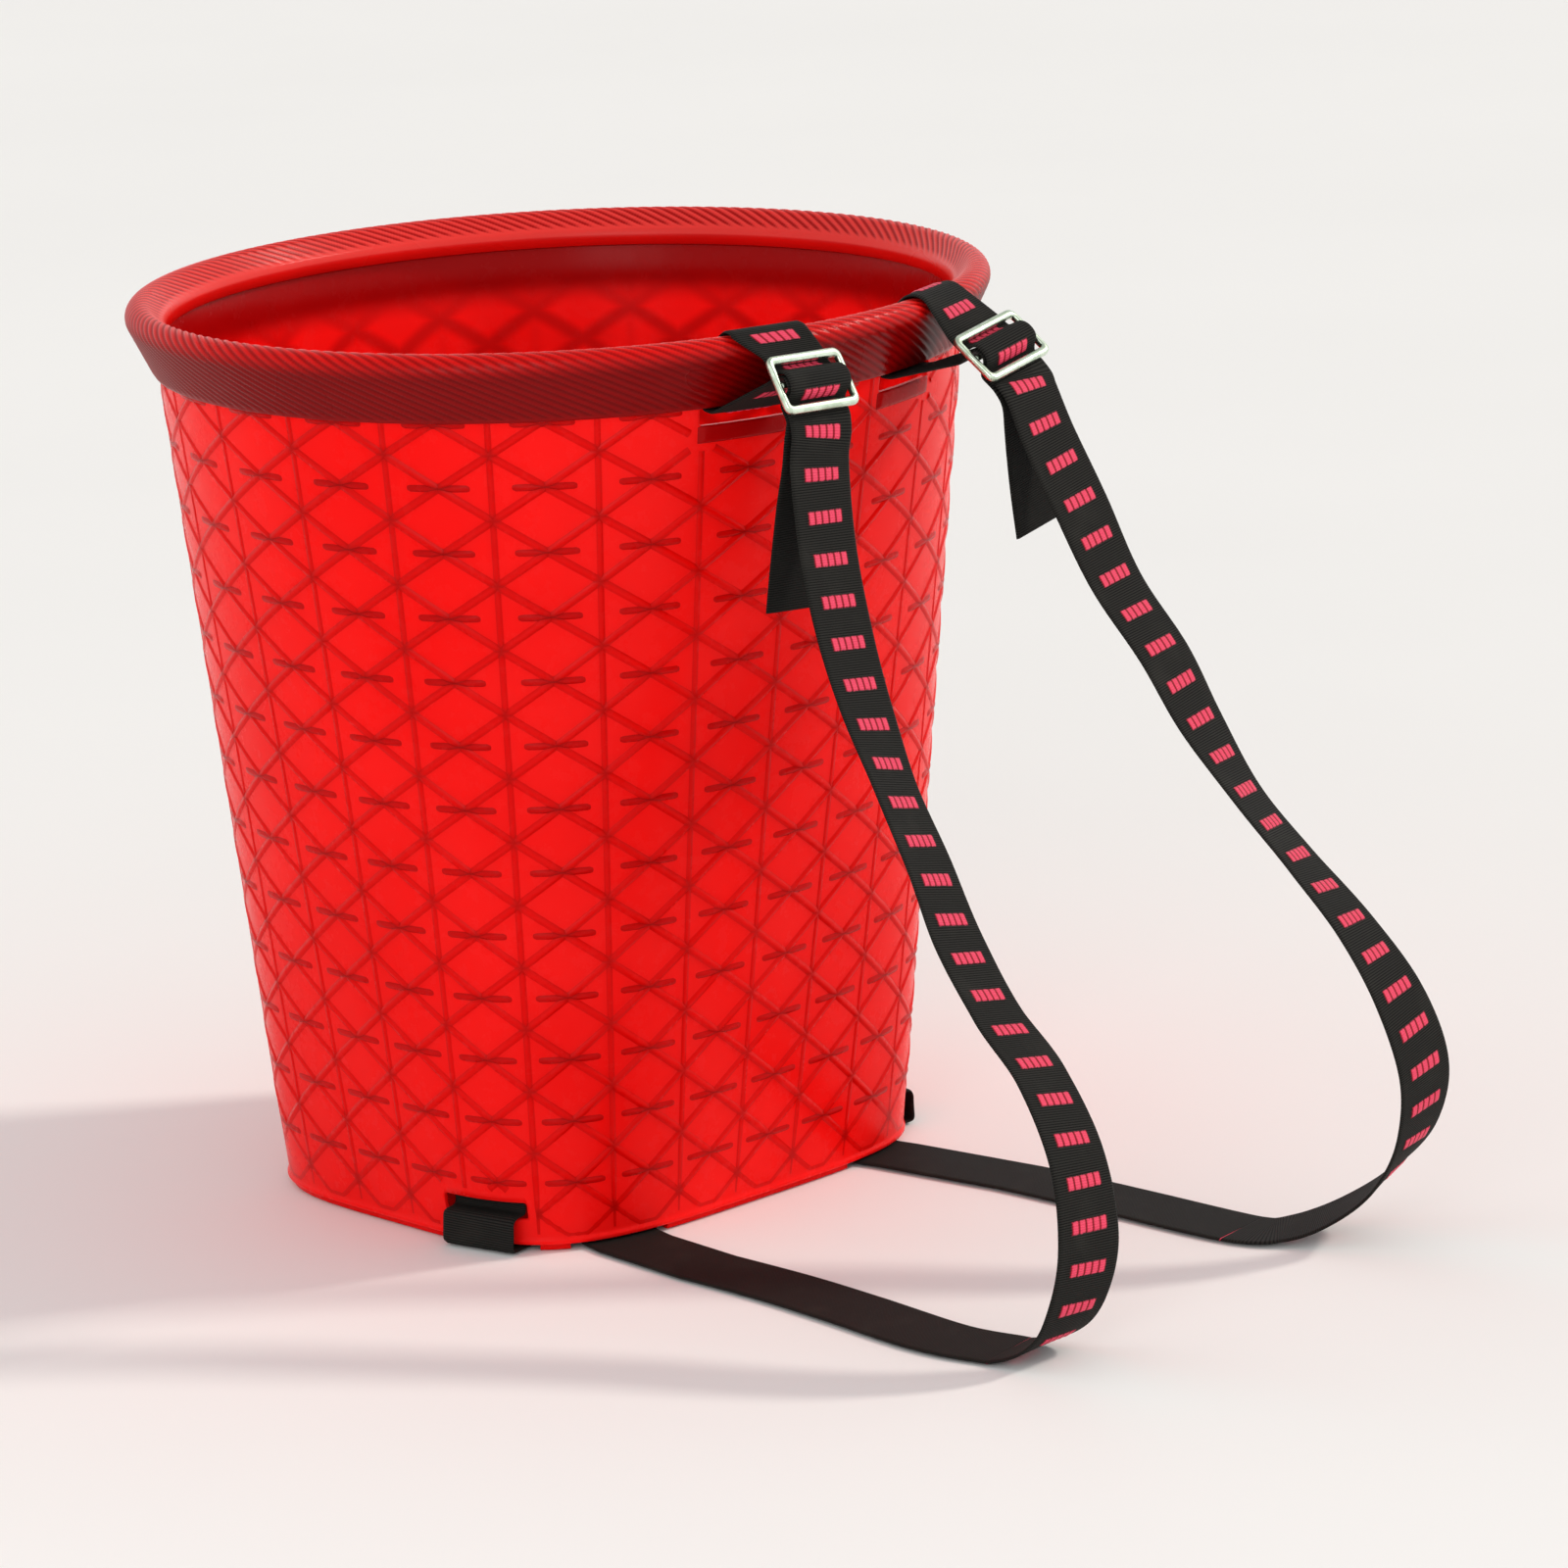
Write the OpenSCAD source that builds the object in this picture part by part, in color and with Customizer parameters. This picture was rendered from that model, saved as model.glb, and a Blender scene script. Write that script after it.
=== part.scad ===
// Picking bucket with two webbing shoulder straps, a moulded tub with a clipped-on rim band and zinc sliders.
// Millimetres, +Z up. The origin is on the ground under the middle of the tub. The straps hang on the -Y side.

/* [Tub] */
// Half of the long axis of the mouth, outside the wall
mouth_a = 186; // [160:1:220]
// Half of the short axis of the mouth, outside the wall
mouth_b = 174; // [150:1:200]
// Half of the base's long axis
base_a = 130; // [110:1:150]
// Half of the base's short axis
base_b = 108; // [95:1:130]
// How square the base is, 2 is an ellipse
base_square = 4; // [2:0.5:6]
// Height of the wall from its lower edge to the hem of the rim band
body_h = 379; // [320:1:420]
// Wall thickness
wall = 2.2; // [1.8:0.1:3.5]
// Floor thickness
floor_t = 2.5; // [2:0.1:4]
// How far the floor lies above the wall's lower edge
floor_lift = 4; // [3:0.5:10]
// Height of the feet, so that the webbing passes under the wall
foot_h = 3; // [2.5:0.1:6]
// Width of the foot ring
foot_w = 4; // [3:0.5:8]
// How far the bead round the base stands out
bead = 1; // [0.5:0.1:2]
// Height of the lattice ribs on the wall
rib_h = 0.8; // [0.3:0.1:0.9]
// Width of a lattice rib at its foot
rib_w = 4.2; // [3:0.2:6]
// Radius of the foot in the middle of the base
hub_r = 18; // [12:1:30]

/* [Rim band] */
// Radius of the roll along the top
roll_r = 6.5; // [5:0.1:9]
// How far the roll's middle lies outside the wall
roll_out = 7.2; // [6:0.1:10]
// Height of the roll's middle above the hem
roll_rise = 24.5; // [20:0.5:30]
// Thickness of the band's shell
band_t = 1.6; // [1.2:0.1:2.5]
// Gap between the hem and the wall
hem_gap = 1; // [0.5:0.1:2]
// How far the wall goes up inside the band
wall_rise = 20; // [16:0.5:21]

/* [Webbing] */
// Width of the webbing
web_w = 38; // [25:1:50]
// Thickness of the webbing
web_t = 1.6; // [1.2:0.1:2.2]
// Distance of each upper slot from the middle of the mouth
slot_x = 50; // [35:1:80]
// Width of a slot more than the webbing
slot_extra = 5; // [4:0.5:10]
// Height of a slot
slot_h = 8; // [7:0.5:12]
// Distance of the flank slots from the middle, towards the straps
flank_y = 60; // [40:1:75]
// Height of the flank slots above the wall's lower edge
flank_rise = 12; // [10:0.5:30]
// Height of the sewn stop fold at the end of each strap
stop_l = 31; // [26:1:45]
// Distance from the middle at which each strap goes under the base
exit_x = 88; // [70:1:100]
// How far outside the base each strap's hinge point lies
exit_out = 23; // [21:1:40]

/* [Sliders] */
// Width of a slider frame
frame_w = 45; // [44:0.5:60]
// Height of a slider frame
frame_h = 27; // [26:0.5:34]
// Thickness of a slider frame
frame_t = 3.4; // [3:0.1:3.6]
// Height of the frame's top and bottom bars
frame_bar = 4; // [3:0.5:5]
// Corner radius of the frame
frame_r = 4; // [2:0.5:6]
// Diameter of the centre bar
bar_d = 3.6; // [3:0.1:4]
// How far the centre bar slides each way
bar_travel = 1; // [0.5:0.1:1.5]
// Distance of each slider outside the mouth, left and right
slider_out = [27, 30];
// Height of each slider above the hem, left and right
slider_rise = [11.5, 9.5];

/* [Node] */

/* [Hidden] */
$fn = 48;
slack = 0.3;
red = [0.93, 0.08, 0.06];
maroon = [0.42, 0.02, 0.02];
black = [0.1, 0.1, 0.1];
zinc = [0.75, 0.77, 0.78];
thread = [0.15, 0.15, 0.15];

// Outlines of the mouth and the base, cut into equal lengths all round
quarter_n = 24;
col_n = 4 * quarter_n;
hem_z = foot_h + body_h;
function polar(a, b, n, q) =
  pow(pow(abs(cos(q)) / a, n) + pow(abs(sin(q)) / b, n), -1 / n) * [cos(q), sin(q)];
function walked(p) = [for (i = 0, s = 0; i < len(p); i = i + 1, s = s + norm(p[min(i, len(p) - 1)] - p[i - 1])) s];
function quarter(a, b, n) =
  let (q = [for (i = [0:90]) i], p = [for (v = q) polar(a, b, n, v)], s = walked(p), total = s[len(s) - 1])
  [for (k = [0:quarter_n]) polar(a, b, n, lookup(total * k / quarter_n, [for (i = [0:90]) [s[i], q[i]]]))];
function turned(p, k) =
  let (m = quarter_n, side = floor(k / m), j = k % m, v = p[side % 2 == 0 ? j : m - j])
  [v[0] * (side == 1 || side == 2 ? -1 : 1), v[1] * (side > 1 ? -1 : 1)];
function outline(a, b, n) = let (p = quarter(a, b, n)) [for (k = [0:col_n - 1]) turned(p, k)];
function unit(v) = v / norm(v);
function right_of(v) = [v[1], -v[0]];
function normals(p) = [for (k = [0:len(p) - 1])
  unit(right_of(p[(k + 1) % len(p)] - p[(k + len(p) - 1) % len(p)]))];
function mix(a, b, f) = a * (1 - f) + b * f;
mouth = outline(mouth_a, mouth_b, 2);
base = outline(base_a, base_b, base_square);
mouth_n = normals(mouth);
base_n = normals(base);

// A point of the wall: column k, offset o outwards, height z
function at(v, k) = let (j = floor(k), m = len(v)) mix(v[(j + m) % m], v[(j + 1 + m) % m], k - j);
function wall_pt(k, o, z) =
  let (f = min(max((z - foot_h) / body_h, 0), 1),
    p = mix(at(base, k), at(mouth, k), f) + o * unit(mix(at(base_n, k), at(mouth_n, k), f)))
  [p[0], p[1], z];

// Faces between rings of m points; the first and last ring are closed with caps, or joined when looped
function sides(rings, m, start) = [for (r = [0:rings - 2], k = [0:m - 1], h = [0, 1])
  let (a = start + r * m + k, b = start + r * m + (k + 1) % m)
  h == 0 ? [a, a + m, b] : [b, a + m, b + m]];
function ring_faces(rings, m, looped) = concat(
  [for (r = [0:rings - (looped ? 1 : 2)], k = [0:m - 1], h = [0, 1])
    let (a = r * m + k, b = r * m + (k + 1) % m, up = ((r + 1) % rings) * m)
    h == 0 ? [a, up + k, b] : [b, up + k, up + (k + 1) % m]],
  looped ? [] : [[for (k = [0:m - 1]) k], [for (k = [m - 1:-1:0]) (rings - 1) * m + k]]);

// Tub: rings of wall points below and above the lattice, and the inside of the wall
floor_z = foot_h + floor_lift;
bead_h = 2.5;
low_path = [[-wall, floor_z], [-wall, foot_h], [bead, foot_h], [bead, foot_h + bead_h],
  [0, foot_h + bead_h + bead]];
high_path = [[0, hem_z + wall_rise], [-wall, hem_z + wall_rise], [-wall, hem_z], [-wall, floor_z + floor_t]];

// Lattice: ribs cross at every second point of a net of half_n columns and net_n rows, one row above the hem.
// Each diamond between them is a panel with four sloping sides.
half_n = col_n / 2;
net_n = 28;
step_z = body_h / (net_n - 2);
cell_w = PI * (mouth_a + mouth_b + base_a + base_b) / 2 / half_n;
rib_share = rib_w / 2 * norm([cell_w, step_z]) / (cell_w * step_z);
function row_z(i) = max(hem_z + step_z * (1 - i), foot_h + bead_h + bead + 1);
function is_edge(i) = i == 0 || i == net_n - 1;
function net_pt(i, h, o) = wall_pt(2 * h, is_edge(round(i)) ? 0 : o, mix(row_z(floor(i)), row_z(ceil(i)), i - floor(i)));
function pane_pts(i, h) = let (r = 1 - rib_share)
  [net_pt(i - r, h, 0), net_pt(i, h + r, 0), net_pt(i + r, h, 0), net_pt(i, h - r, 0)];
cross_n = net_n * half_n / 2;
pane_n = 2 * (net_n - 2) * half_n;
net_start = len(low_path) * col_n;
pane_start = net_start + cross_n;
edge_start = pane_start + pane_n;
high_start = edge_start + half_n;
function first(i) = 1 - i % 2;
function cross_id(i, h) = net_start + i * half_n / 2 + floor((h + half_n) % half_n / 2);
function pane_id(i, h, j) = pane_start + 4 * ((i - 1) * half_n / 2 + floor(h / 2)) + j;
function edge_id(i, h) = (i + 1 + h) % 2 == 0 ? cross_id(i, h)
  : edge_start + (i == 0 ? 0 : half_n / 2) + floor((h + half_n) % half_n / 2);
net_pts = concat(
  [for (i = [0:net_n - 1], h = [first(i):2:half_n - 1]) net_pt(i, h, rib_h)],
  [for (i = [1:net_n - 2], h = [i % 2:2:half_n - 1]) each pane_pts(i, h)],
  [for (i = [0, net_n - 1], h = [i % 2:2:half_n - 1]) net_pt(i, h, 0)]);
net_faces = concat(
  [for (i = [1:net_n - 2], h = [i % 2:2:half_n - 1])
    let (c = [cross_id(i - 1, h), cross_id(i, h + 1), cross_id(i + 1, h), cross_id(i, h - 1)])
    each concat(
      [for (j = [0:3]) each [[c[j], c[(j + 1) % 4], pane_id(i, h, (j + 1) % 4)],
        [c[j], pane_id(i, h, (j + 1) % 4), pane_id(i, h, j)]]],
      [[for (j = [0:2]) pane_id(i, h, j)], [for (j = [0, 2, 3]) pane_id(i, h, j)]])],
  [for (h = [0:2:half_n - 1])
    each [[cross_id(0, h - 1), edge_id(0, h), cross_id(1, h)], [edge_id(0, h), cross_id(0, h + 1), cross_id(1, h)]]],
  [for (h = [1:2:half_n - 1], i = [net_n - 1])
    each [[cross_id(i - 1, h), cross_id(i, h + 1), edge_id(i, h)], [cross_id(i - 1, h), edge_id(i, h), cross_id(i, h - 1)]]],
  [for (h = [0:half_n - 1])
    let (i = net_n - 1, a = edge_id(i, h), b = edge_id(i, h + 1), l = net_start - col_n + 2 * h,
      next = net_start - col_n + (2 * h + 2) % col_n)
    each [[l, a, l + 1], [l + 1, a, b], [l + 1, b, next]]],
  [for (h = [0:half_n - 1])
    let (a = edge_id(0, h), b = edge_id(0, h + 1), u = high_start + 2 * h, next = high_start + (2 * h + 2) % col_n)
    each [[a, u, u + 1], [a, u + 1, b], [b, u + 1, next]]]);

module shell() {
  polyhedron(
    points = concat(
      [for (p = low_path, k = [0:col_n - 1]) wall_pt(k, p[0], p[1])],
      net_pts,
      [for (p = high_path, k = [0:col_n - 1]) wall_pt(k, p[0], p[1])]),
    faces = concat(
      sides(len(low_path), col_n, 0), net_faces, sides(len(high_path), col_n, high_start),
      [[for (k = [0:col_n - 1]) k],
        [for (k = [col_n - 1:-1:0]) high_start + (len(high_path) - 1) * col_n + k]]));
}

module foot_ring() {
  difference() {
    linear_extrude(floor_z + floor_t / 2)
      difference() {
        polygon([for (k = [0:col_n - 1]) base[k] - base_n[k] * wall / 2]);
        polygon([for (k = [0:2:col_n - 1]) base[k] - base_n[k] * (wall / 2 + foot_w)]);
      }
    for (s = [-1, 1]) {
      channel(hinge_pt(s), hinge_dir(s), 3 * exit_out);
      channel(flank_in(s), flank_dir(s), 2 * exit_out);
    }
  }
}

// A round foot and ribs under the floor; the two corners where the webbing runs stay free
floor_rib_t = 2;
module floor_ribs() {
  linear_extrude(floor_z + floor_t / 2)
    circle(r = hub_r, $fn = 25);
  translate([0, 0, foot_h / 2])
    linear_extrude(floor_lift + floor_t)
      intersection() {
        polygon([for (k = [0:2:col_n - 1]) base[k] - base_n[k] * (wall + 0.5)]);
        union()
          for (q = [0:45:180])
            rotate(q)
              translate([0, -floor_rib_t / 2])
                square([base_a + base_b, floor_rib_t]);
      }
}

// The free way for the webbing under the wall
channel_h = foot_h + 1.4;
module channel(p, d, l) {
  translate([p[0], p[1], 0])
    rotate([0, 0, atan2(d[1], d[0])])
      hull()
        for (y = [-1, 1])
          translate([0, y * (web_w + slot_extra) / 2, -1])
            cube([l, slack, channel_h + 1]);
}

// A slot through the wall with round ends
slot_r = 1.5;
module slot(p, n, low) {
  translate([p[0], p[1], low])
    rotate([0, 0, atan2(n[1], n[0])])
      hull()
        for (y = [-1, 1], z = [slot_r, slot_h - slot_r])
          translate([0, y * ((web_w + slot_extra) / 2 - slot_r), z])
            rotate([0, 90, 0])
              cylinder(h = 20, r = slot_r, center = true, $fn = 16);
}

module tub() {
  color(red)
    difference() {
      union() {
        shell();
        foot_ring();
        floor_ribs();
      }
      for (s = [-1, 1]) {
        slot(rim_pt(s * slot_x, 0, 0), rim_n(s * slot_x), hem_z - slot_h);
        slot(flank_pt(s, 0, flank_low), flank_dir(s), flank_low);
      }
    }
}

// Rim band: a channel with a skirt outside, a roll on top and a leg inside the wall
skirt_turn = asin(roll_r / norm([roll_rise, roll_out - hem_gap - band_t]))
  - atan2(roll_out - hem_gap - band_t, roll_rise);
roll_end = 130;
lip = [-wall - 1, roll_rise - 2];
leg_out = -wall - 0.2;
function roll_arc(r, n) = [for (i = [0:n]) let (q = mix(-90 + 64 + skirt_turn, roll_end, i / n))
  [roll_out + r * cos(q), hem_z + roll_rise + r * sin(q)]];
function reversed(v) = [for (i = [len(v) - 1:-1:0]) v[i]];
band_path = concat(
  [[hem_gap + band_t, hem_z]],
  roll_arc(roll_r, 5),
  [[lip[0], hem_z + lip[1]], [leg_out - band_t, hem_z + lip[1] - 3], [leg_out - band_t, hem_z + lip[1] - 7.5]],
  [[leg_out, hem_z + lip[1] - 7.5], [leg_out, hem_z + wall_rise + 0.8]],
  reversed(roll_arc(roll_r - band_t, 3)),
  [[hem_gap, hem_z]]);

module rim_band() {
  color(maroon)
    polyhedron(
      points = [for (p = band_path, k = [0:col_n - 1]) wall_pt(k, p[0], p[1])],
      faces = ring_faces(len(band_path), col_n, true));
}

// Frames on the rim and on the flank, where webbing follows the wall
function rim_y(x) = -mouth_b * sqrt(1 - pow(x / mouth_a, 2));
function rim_n(x) = unit([x / pow(mouth_a, 2), rim_y(x) / pow(mouth_b, 2)]);
function rim_pt(x, o, z) = [x + rim_n(x)[0] * o, rim_y(x) + rim_n(x)[1] * o, z];
base_step = norm(base[1] - base[0]);
flank_col = round(flank_y / base_step);
function flank_k(s) = s < 0 ? col_n / 2 + flank_col : col_n - flank_col;
function flank_dir(s) = base_n[flank_k(s)];
function flank_pt(s, o, z) = wall_pt(flank_k(s), o, z);
function flank_in(s) = flank_pt(s, -exit_out, 0);
flank_low = foot_h + flank_rise;

// Ribbons: each station is a ring of four points, made from the two edges and the face normal
function station(l, r, n) = [l + n * web_t / 2, r + n * web_t / 2, r - n * web_t / 2, l - n * web_t / 2];
function across(c, w, n) = station(c - w * web_w / 2, c + w * web_w / 2, n);
function heading(c, i) = unit(c[min(i + 1, len(c) - 1)] - c[max(i - 1, 0)]);
function ribbon(c, w) = [for (i = [0:len(c) - 1])
  let (t = heading(c, i), v = unit(w[i] - t * (w[i] * t))) across(c[i], v, unit(cross(v, t)))];
function skewed(c, w) = [for (i = [0:len(c) - 1]) across(c[i], w[i], unit(cross(w[i], heading(c, i))))];
function slid(q, d, p, a) = [for (v = q) v + d * (((p - v) * a) / (d * a))];
module strip(q) {
  polyhedron(
    points = [for (ring = q, v = ring) v],
    faces = ring_faces(len(q), 4, false));
}

// Slider position and attitude; local x along the bars, y up the frame, z to the front
slider_x = [-42, 72];
slider_turn = [[58.5, 3, 2], [41.5, -8, 8]];
function turn_x(v, q) = [v[0], v[1] * cos(q) - v[2] * sin(q), v[1] * sin(q) + v[2] * cos(q)];
function turn_y(v, q) = [v[0] * cos(q) + v[2] * sin(q), v[1], v[2] * cos(q) - v[0] * sin(q)];
function turn_z(v, q) = [v[0] * cos(q) - v[1] * sin(q), v[0] * sin(q) + v[1] * cos(q), v[2]];
function turn(v, q) = turn_z(turn_y(turn_x(v, q[0]), q[1]), q[2]);
function slider_at(i) = [slider_x[i], -mouth_b - slider_out[i], hem_z + slider_rise[i]];
function on_slider(i, down, front) = slider_at(i) + turn([0, -down, front], slider_turn[i]);
function bar_dir(i) = turn([1, 0, 0], slider_turn[i]);
bar_r = bar_d / 2;
thin = web_t + slack;
inner = frame_h / 2 - frame_bar;

// Webbing through the slider, as distance down from the centre bar and distance in front of it.
// The under layer comes from the slot and lies on the bar, the upper layer is the shoulder strap.
behind = frame_t / 2 + 1.25 + web_t / 2;
over = bar_r + slack + web_t / 2;
cut_down = frame_h / 2 + 1;
upper_half = [
  [1.8, over + thin], [4.7, over + 0.6], [6.1, 0], [7.3, 0.8 - behind], [9, -behind]
];
under_half = [[1.4, over], [3.2, over - 0.8], [4.3, -0.6], [5.6, 1 - behind - thin], [6.7, -behind - thin]];
upper_path = concat(
  [[cut_down, -behind]], reversed(upper_half),
  [for (p = upper_half) [-p[0], p[1]]], [[-cut_down, -behind]]);
under_path = concat(
  [[-4.8, -8.5], [-4.7, -2.4], [-4.3, -0.6], [-3.2, over - 0.8], [-1.4, over]],
  under_half,
  [[cut_down, -behind - thin]]);

// Webbing over the rim, as offset from the wall, height above the hem and share of the way to the slot.
roll_way = roll_r + slack + 0.9 + web_t / 2;
rim_way = concat(
  [for (q = [48:22:136]) [roll_out + roll_way * cos(q), roll_rise + roll_way * sin(q), 0]],
  [[-6.3, 22, 0.25], [-6.3, 8, 0.8], [-5.8, 2, 1], [-4.2, -1.2, 1], [-1.5, -2, 1], [2.5, -2, 1], [4.5, -1.4, 1]]);
cross_x = [-44, 61];
function way_x(i, f) = mix(cross_x[i], sign(cross_x[i]) * slot_x, f);
function way_pt(i, p) = rim_pt(way_x(i, p[2]), p[0], hem_z + p[1]);
function way_w(i, p) = let (n = rim_n(way_x(i, p[2]))) [-n[1], n[0], 0];

// The line that the strap swings about, from below the slider to just outside the base
function hinge_dir(s) = unit([-s * 0.21, 0.977]);
function hinge_pt(s) = [s * exit_x, -base_b - exit_out, slack + web_t / 2];
function top_pt(i) = on_slider(i, cut_down, -behind);
function chord(i) = unit(hinge_pt(i == 0 ? -1 : 1) - top_pt(i));

function loop_quads(i) =
  let (
    c = concat([for (p = upper_path) on_slider(i, p[0], p[1])], [for (p = rim_way) way_pt(i, p)],
      [for (p = under_path) on_slider(i, p[0], p[1])]),
    w = concat([for (p = upper_path) -bar_dir(i)], [for (p = rim_way) -way_w(i, p)],
      [for (p = under_path) -bar_dir(i)]),
    q = skewed(c, w), last = len(q) - 1, a = chord(i), stop = top_pt(i) - a * slack / 2)
  [for (k = [0:last]) k == 0 || k == last ? slid(q[k], heading(c, k), stop, a) : q[k]];

module rim_loop(i) {
  color(black)
    strip(loop_quads(i));
}

// Shoulder strap routes: share of the way down the chord, distance outwards, distance sideways, twist.
route = [
  [[0, 0, 0, -2], [0.02, 3, 0, -3], [0.06, 7, -1, -4], [0.15, 20, 0, -6], [0.24, 38, 1, -8], [0.32, 58, 2, -13], [0.4, 83, 2, -21],
    [0.48, 110, 3, -19], [0.56, 136, 3, -16], [0.63, 164, 4, -18], [0.69, 195, 5, -15], [0.77, 223, 5, -8],
    [0.86, 238, 6, -1], [0.93, 239, 6, 0], [0.975, 231, 6, -3], [1, 211, 2, -8], [1, 177, -4, -2], [1, 119, 0, 2],
    [1, 76, 2, 2], [1, 30, 1, -4], [1, 0, 0, -12]],
  [[0, 0, 0, -8], [0.02, 8, 0, -8], [0.07, 19, 2, -6], [0.15, 38, 7, -5], [0.24, 60, 12, -8], [0.32, 88, 17, -9],
    [0.4, 110, 22, -14], [0.48, 137, 27, -26], [0.55, 166, 33, -26], [0.62, 198, 37, -18], [0.7, 224, 42, -8],
    [0.79, 239, 48, -6], [0.87, 238, 50, -12], [0.93, 228, 44, -26], [0.97, 214, 34, -34], [0.994, 198, 22, -36],
    [1, 178, 12, -20], [1, 109, 9, -4], [1, 49, 6, 4], [1, 0, 0, 12]]
];
smooth_n = 2;
function catmull(a, b, c, d, f) =
  (2 * b + (c - a) * f + (2 * a - 5 * b + 4 * c - d) * f * f + (3 * b - a - 3 * c + d) * f * f * f) / 2;
function smooth(p) = let (n = len(p) - 1) concat(
  [for (k = [0:n - 1], j = [0:smooth_n - 1])
    catmull(p[max(k - 1, 0)], p[k], p[k + 1], p[min(k + 2, n)], j / smooth_n)],
  [p[n]]);
function run_pt(i, r) =
  let (p = mix(top_pt(i), hinge_pt(i == 0 ? -1 : 1), min(r[0], 1)))
  [p[0] + r[2], p[1] - r[1], p[2]];
function strap_quads(i) =
  let (
    r = smooth(route[i]), c = [for (v = r) run_pt(i, v)],
    w = [for (k = [0:len(r) - 1]) mix(-bar_dir(i), [-cos(r[k][3]), sin(r[k][3]), 0], min(k / 3, 1))],
    q = ribbon(c, w), a = chord(i), t = unit(on_slider(i, 1, 0) - on_slider(i, 0, 0)))
  concat([slid(across(c[0], -bar_dir(i), unit(cross(-bar_dir(i), t))), t, top_pt(i) + a * slack / 2, a)],
    [for (k = [smooth_n:len(q) - 1]) q[k]]);

module shoulder_strap(i) {
  s = i == 0 ? -1 : 1;
  color(black) {
    strip(strap_quads(i));
    translate(hinge_pt(s) - [0, 0, web_t / 2])
      cylinder(h = web_t, d = web_w);
  }
}

// The free tail behind the strap, as steps from the slider
tail_way = [
  [[-1, 1, -8], [-2, 2, -20], [-3, 5, -36], [-4, 8, -56], [-5, 10, -72], [-6, 11, -84]],
  [[2, -3, -7], [3, -3, -17], [5, -2, -30], [8, -1, -48], [11, -1, -68]]
];
function tail_quads(i) =
  let (
    p = on_slider(i, cut_down, -behind - thin), t = unit(on_slider(i, 1, 0) - on_slider(i, 0, 0)), a = chord(i),
    c = smooth(concat([p], [for (v = tail_way[i]) p + v])), q = ribbon(c, [for (v = c) -bar_dir(i)]))
  concat([slid(q[0], t, top_pt(i) + a * slack / 2, a)], [for (k = [smooth_n:len(q) - 1]) q[k]]);

module tail(i) {
  color(black)
    strip(tail_quads(i));
}

// Run under the base: in from the front, one diagonal fold, out under the flank, up and in through the slot
low_z = slack + web_t / 2;
high_z = low_z + thin + 0.3;
function cross2(a, b) = a[0] * b[1] - a[1] * b[0];
function flat(p, z) = [p[0], p[1], z];
function run_quads() =
  let (
    d = hinge_dir(-1), r = right_of(d), e = flank_dir(-1), m = flank_pt(-1, 0, foot_h),
    p = [hinge_pt(-1)[0], hinge_pt(-1)[1]], g = [m[0], m[1]] - p,
    x = p + d * (cross2(g, e) / cross2(d, e)), f = unit(d + e), h = web_w / 2 / abs(cross2(f, d)),
    away = unit(d - f * (d * f)),
    front = [for (v = [[web_w / 2 + slack, low_z], [exit_out + 8, low_z], [exit_out + 20, high_z]])
      across(flat(p + d * v[0], v[1]), flat(r, 0), [0, 0, 1])],
    fold = [for (q = [90:-30:-90])
      let (o = flat(away, 0) * cos(q) * (high_z - low_z) / 2, z = (high_z + low_z) / 2 + sin(q) * (high_z - low_z) / 2)
      station(flat(x + f * h, z) + o, flat(x - f * h, z) + o, flat(away, 0) * cos(q) + [0, 0, sin(q)])],
    rise = [[-12, low_z], [bead + 3, low_z], [bead + 4.3, low_z + 0.6], [bead + 5, low_z + 2],
      [4.6, flank_low - 4], [4.2, flank_low - 0.4], [3.2, flank_low + 0.8], [1.6, flank_low + 1.4],
      [-wall - 2.8, flank_low + 1.4], [-wall - 4, flank_low + 2.2], [-wall - 4.4, flank_low + 4],
      [-wall - 4.4, flank_low + stop_l - 1], [-wall - 5.4, flank_low + stop_l], [-wall - 6.4, flank_low + stop_l - 1],
      [-wall - 6.4, flank_low + 0.4 * stop_l]],
    c = [for (v = rise) flank_pt(-1, v[0], v[1])],
    back = ribbon(c, [for (v = c) flat(-right_of(e), 0)]))
  concat(front, fold, back);

module base_run(i) {
  color(black)
    mirror([i, 0, 0])
      strip(run_quads());
}

// Bar tacks across the folded end
tack_d = 0.8;
module stop_stitches(i) {
  e = flank_dir(-1);
  color(thread)
    mirror([i, 0, 0])
      for (z = [stop_l - 15:4:stop_l - 3])
        translate(flank_pt(-1, -wall - 6.55 - web_t / 2 - tack_d / 2, flank_low + z))
          rotate([0, 0, atan2(e[1], e[0]) + 90])
            rotate([0, 90, 0])
              cylinder(h = web_w - 8, d = tack_d, center = true, $fn = 13);
}

// Slider frame: a cast rectangle with round corners and a slot in each side for the centre bar's ends
side_w = (frame_w - web_w - 1.4) / 2;
tab_t = 1.4;
module place_slider(i) {
  translate(slider_at(i))
    rotate(slider_turn[i])
      children();
}

module slider_frame(i) {
  color(zinc)
    place_slider(i)
      difference() {
        translate([0, 0, -frame_t / 2])
          linear_extrude(frame_t)
            difference() {
              union() {
                square([frame_w - 2 * frame_r, frame_h], center = true);
                square([frame_w, frame_h - 2 * frame_r], center = true);
                for (x = [-1, 1], y = [-1, 1])
                  translate([x * (frame_w / 2 - frame_r), y * (frame_h / 2 - frame_r)])
                    circle(frame_r);
              }
              square([frame_w - 2 * side_w, frame_h - 2 * frame_bar], center = true);
            }
        cube([frame_w - side_w + 0.4, bar_d + 2 * bar_travel + 2 * slack, tab_t + 2 * slack], center = true);
      }
}

module slider_bar(i) {
  color(zinc)
    place_slider(i) {
      rotate([0, 90, 0])
        cylinder(h = web_w + 0.8, d = bar_d, center = true);
      cube([frame_w - side_w - 0.2, bar_d - 0.4, tab_t], center = true);
    }
}

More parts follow.
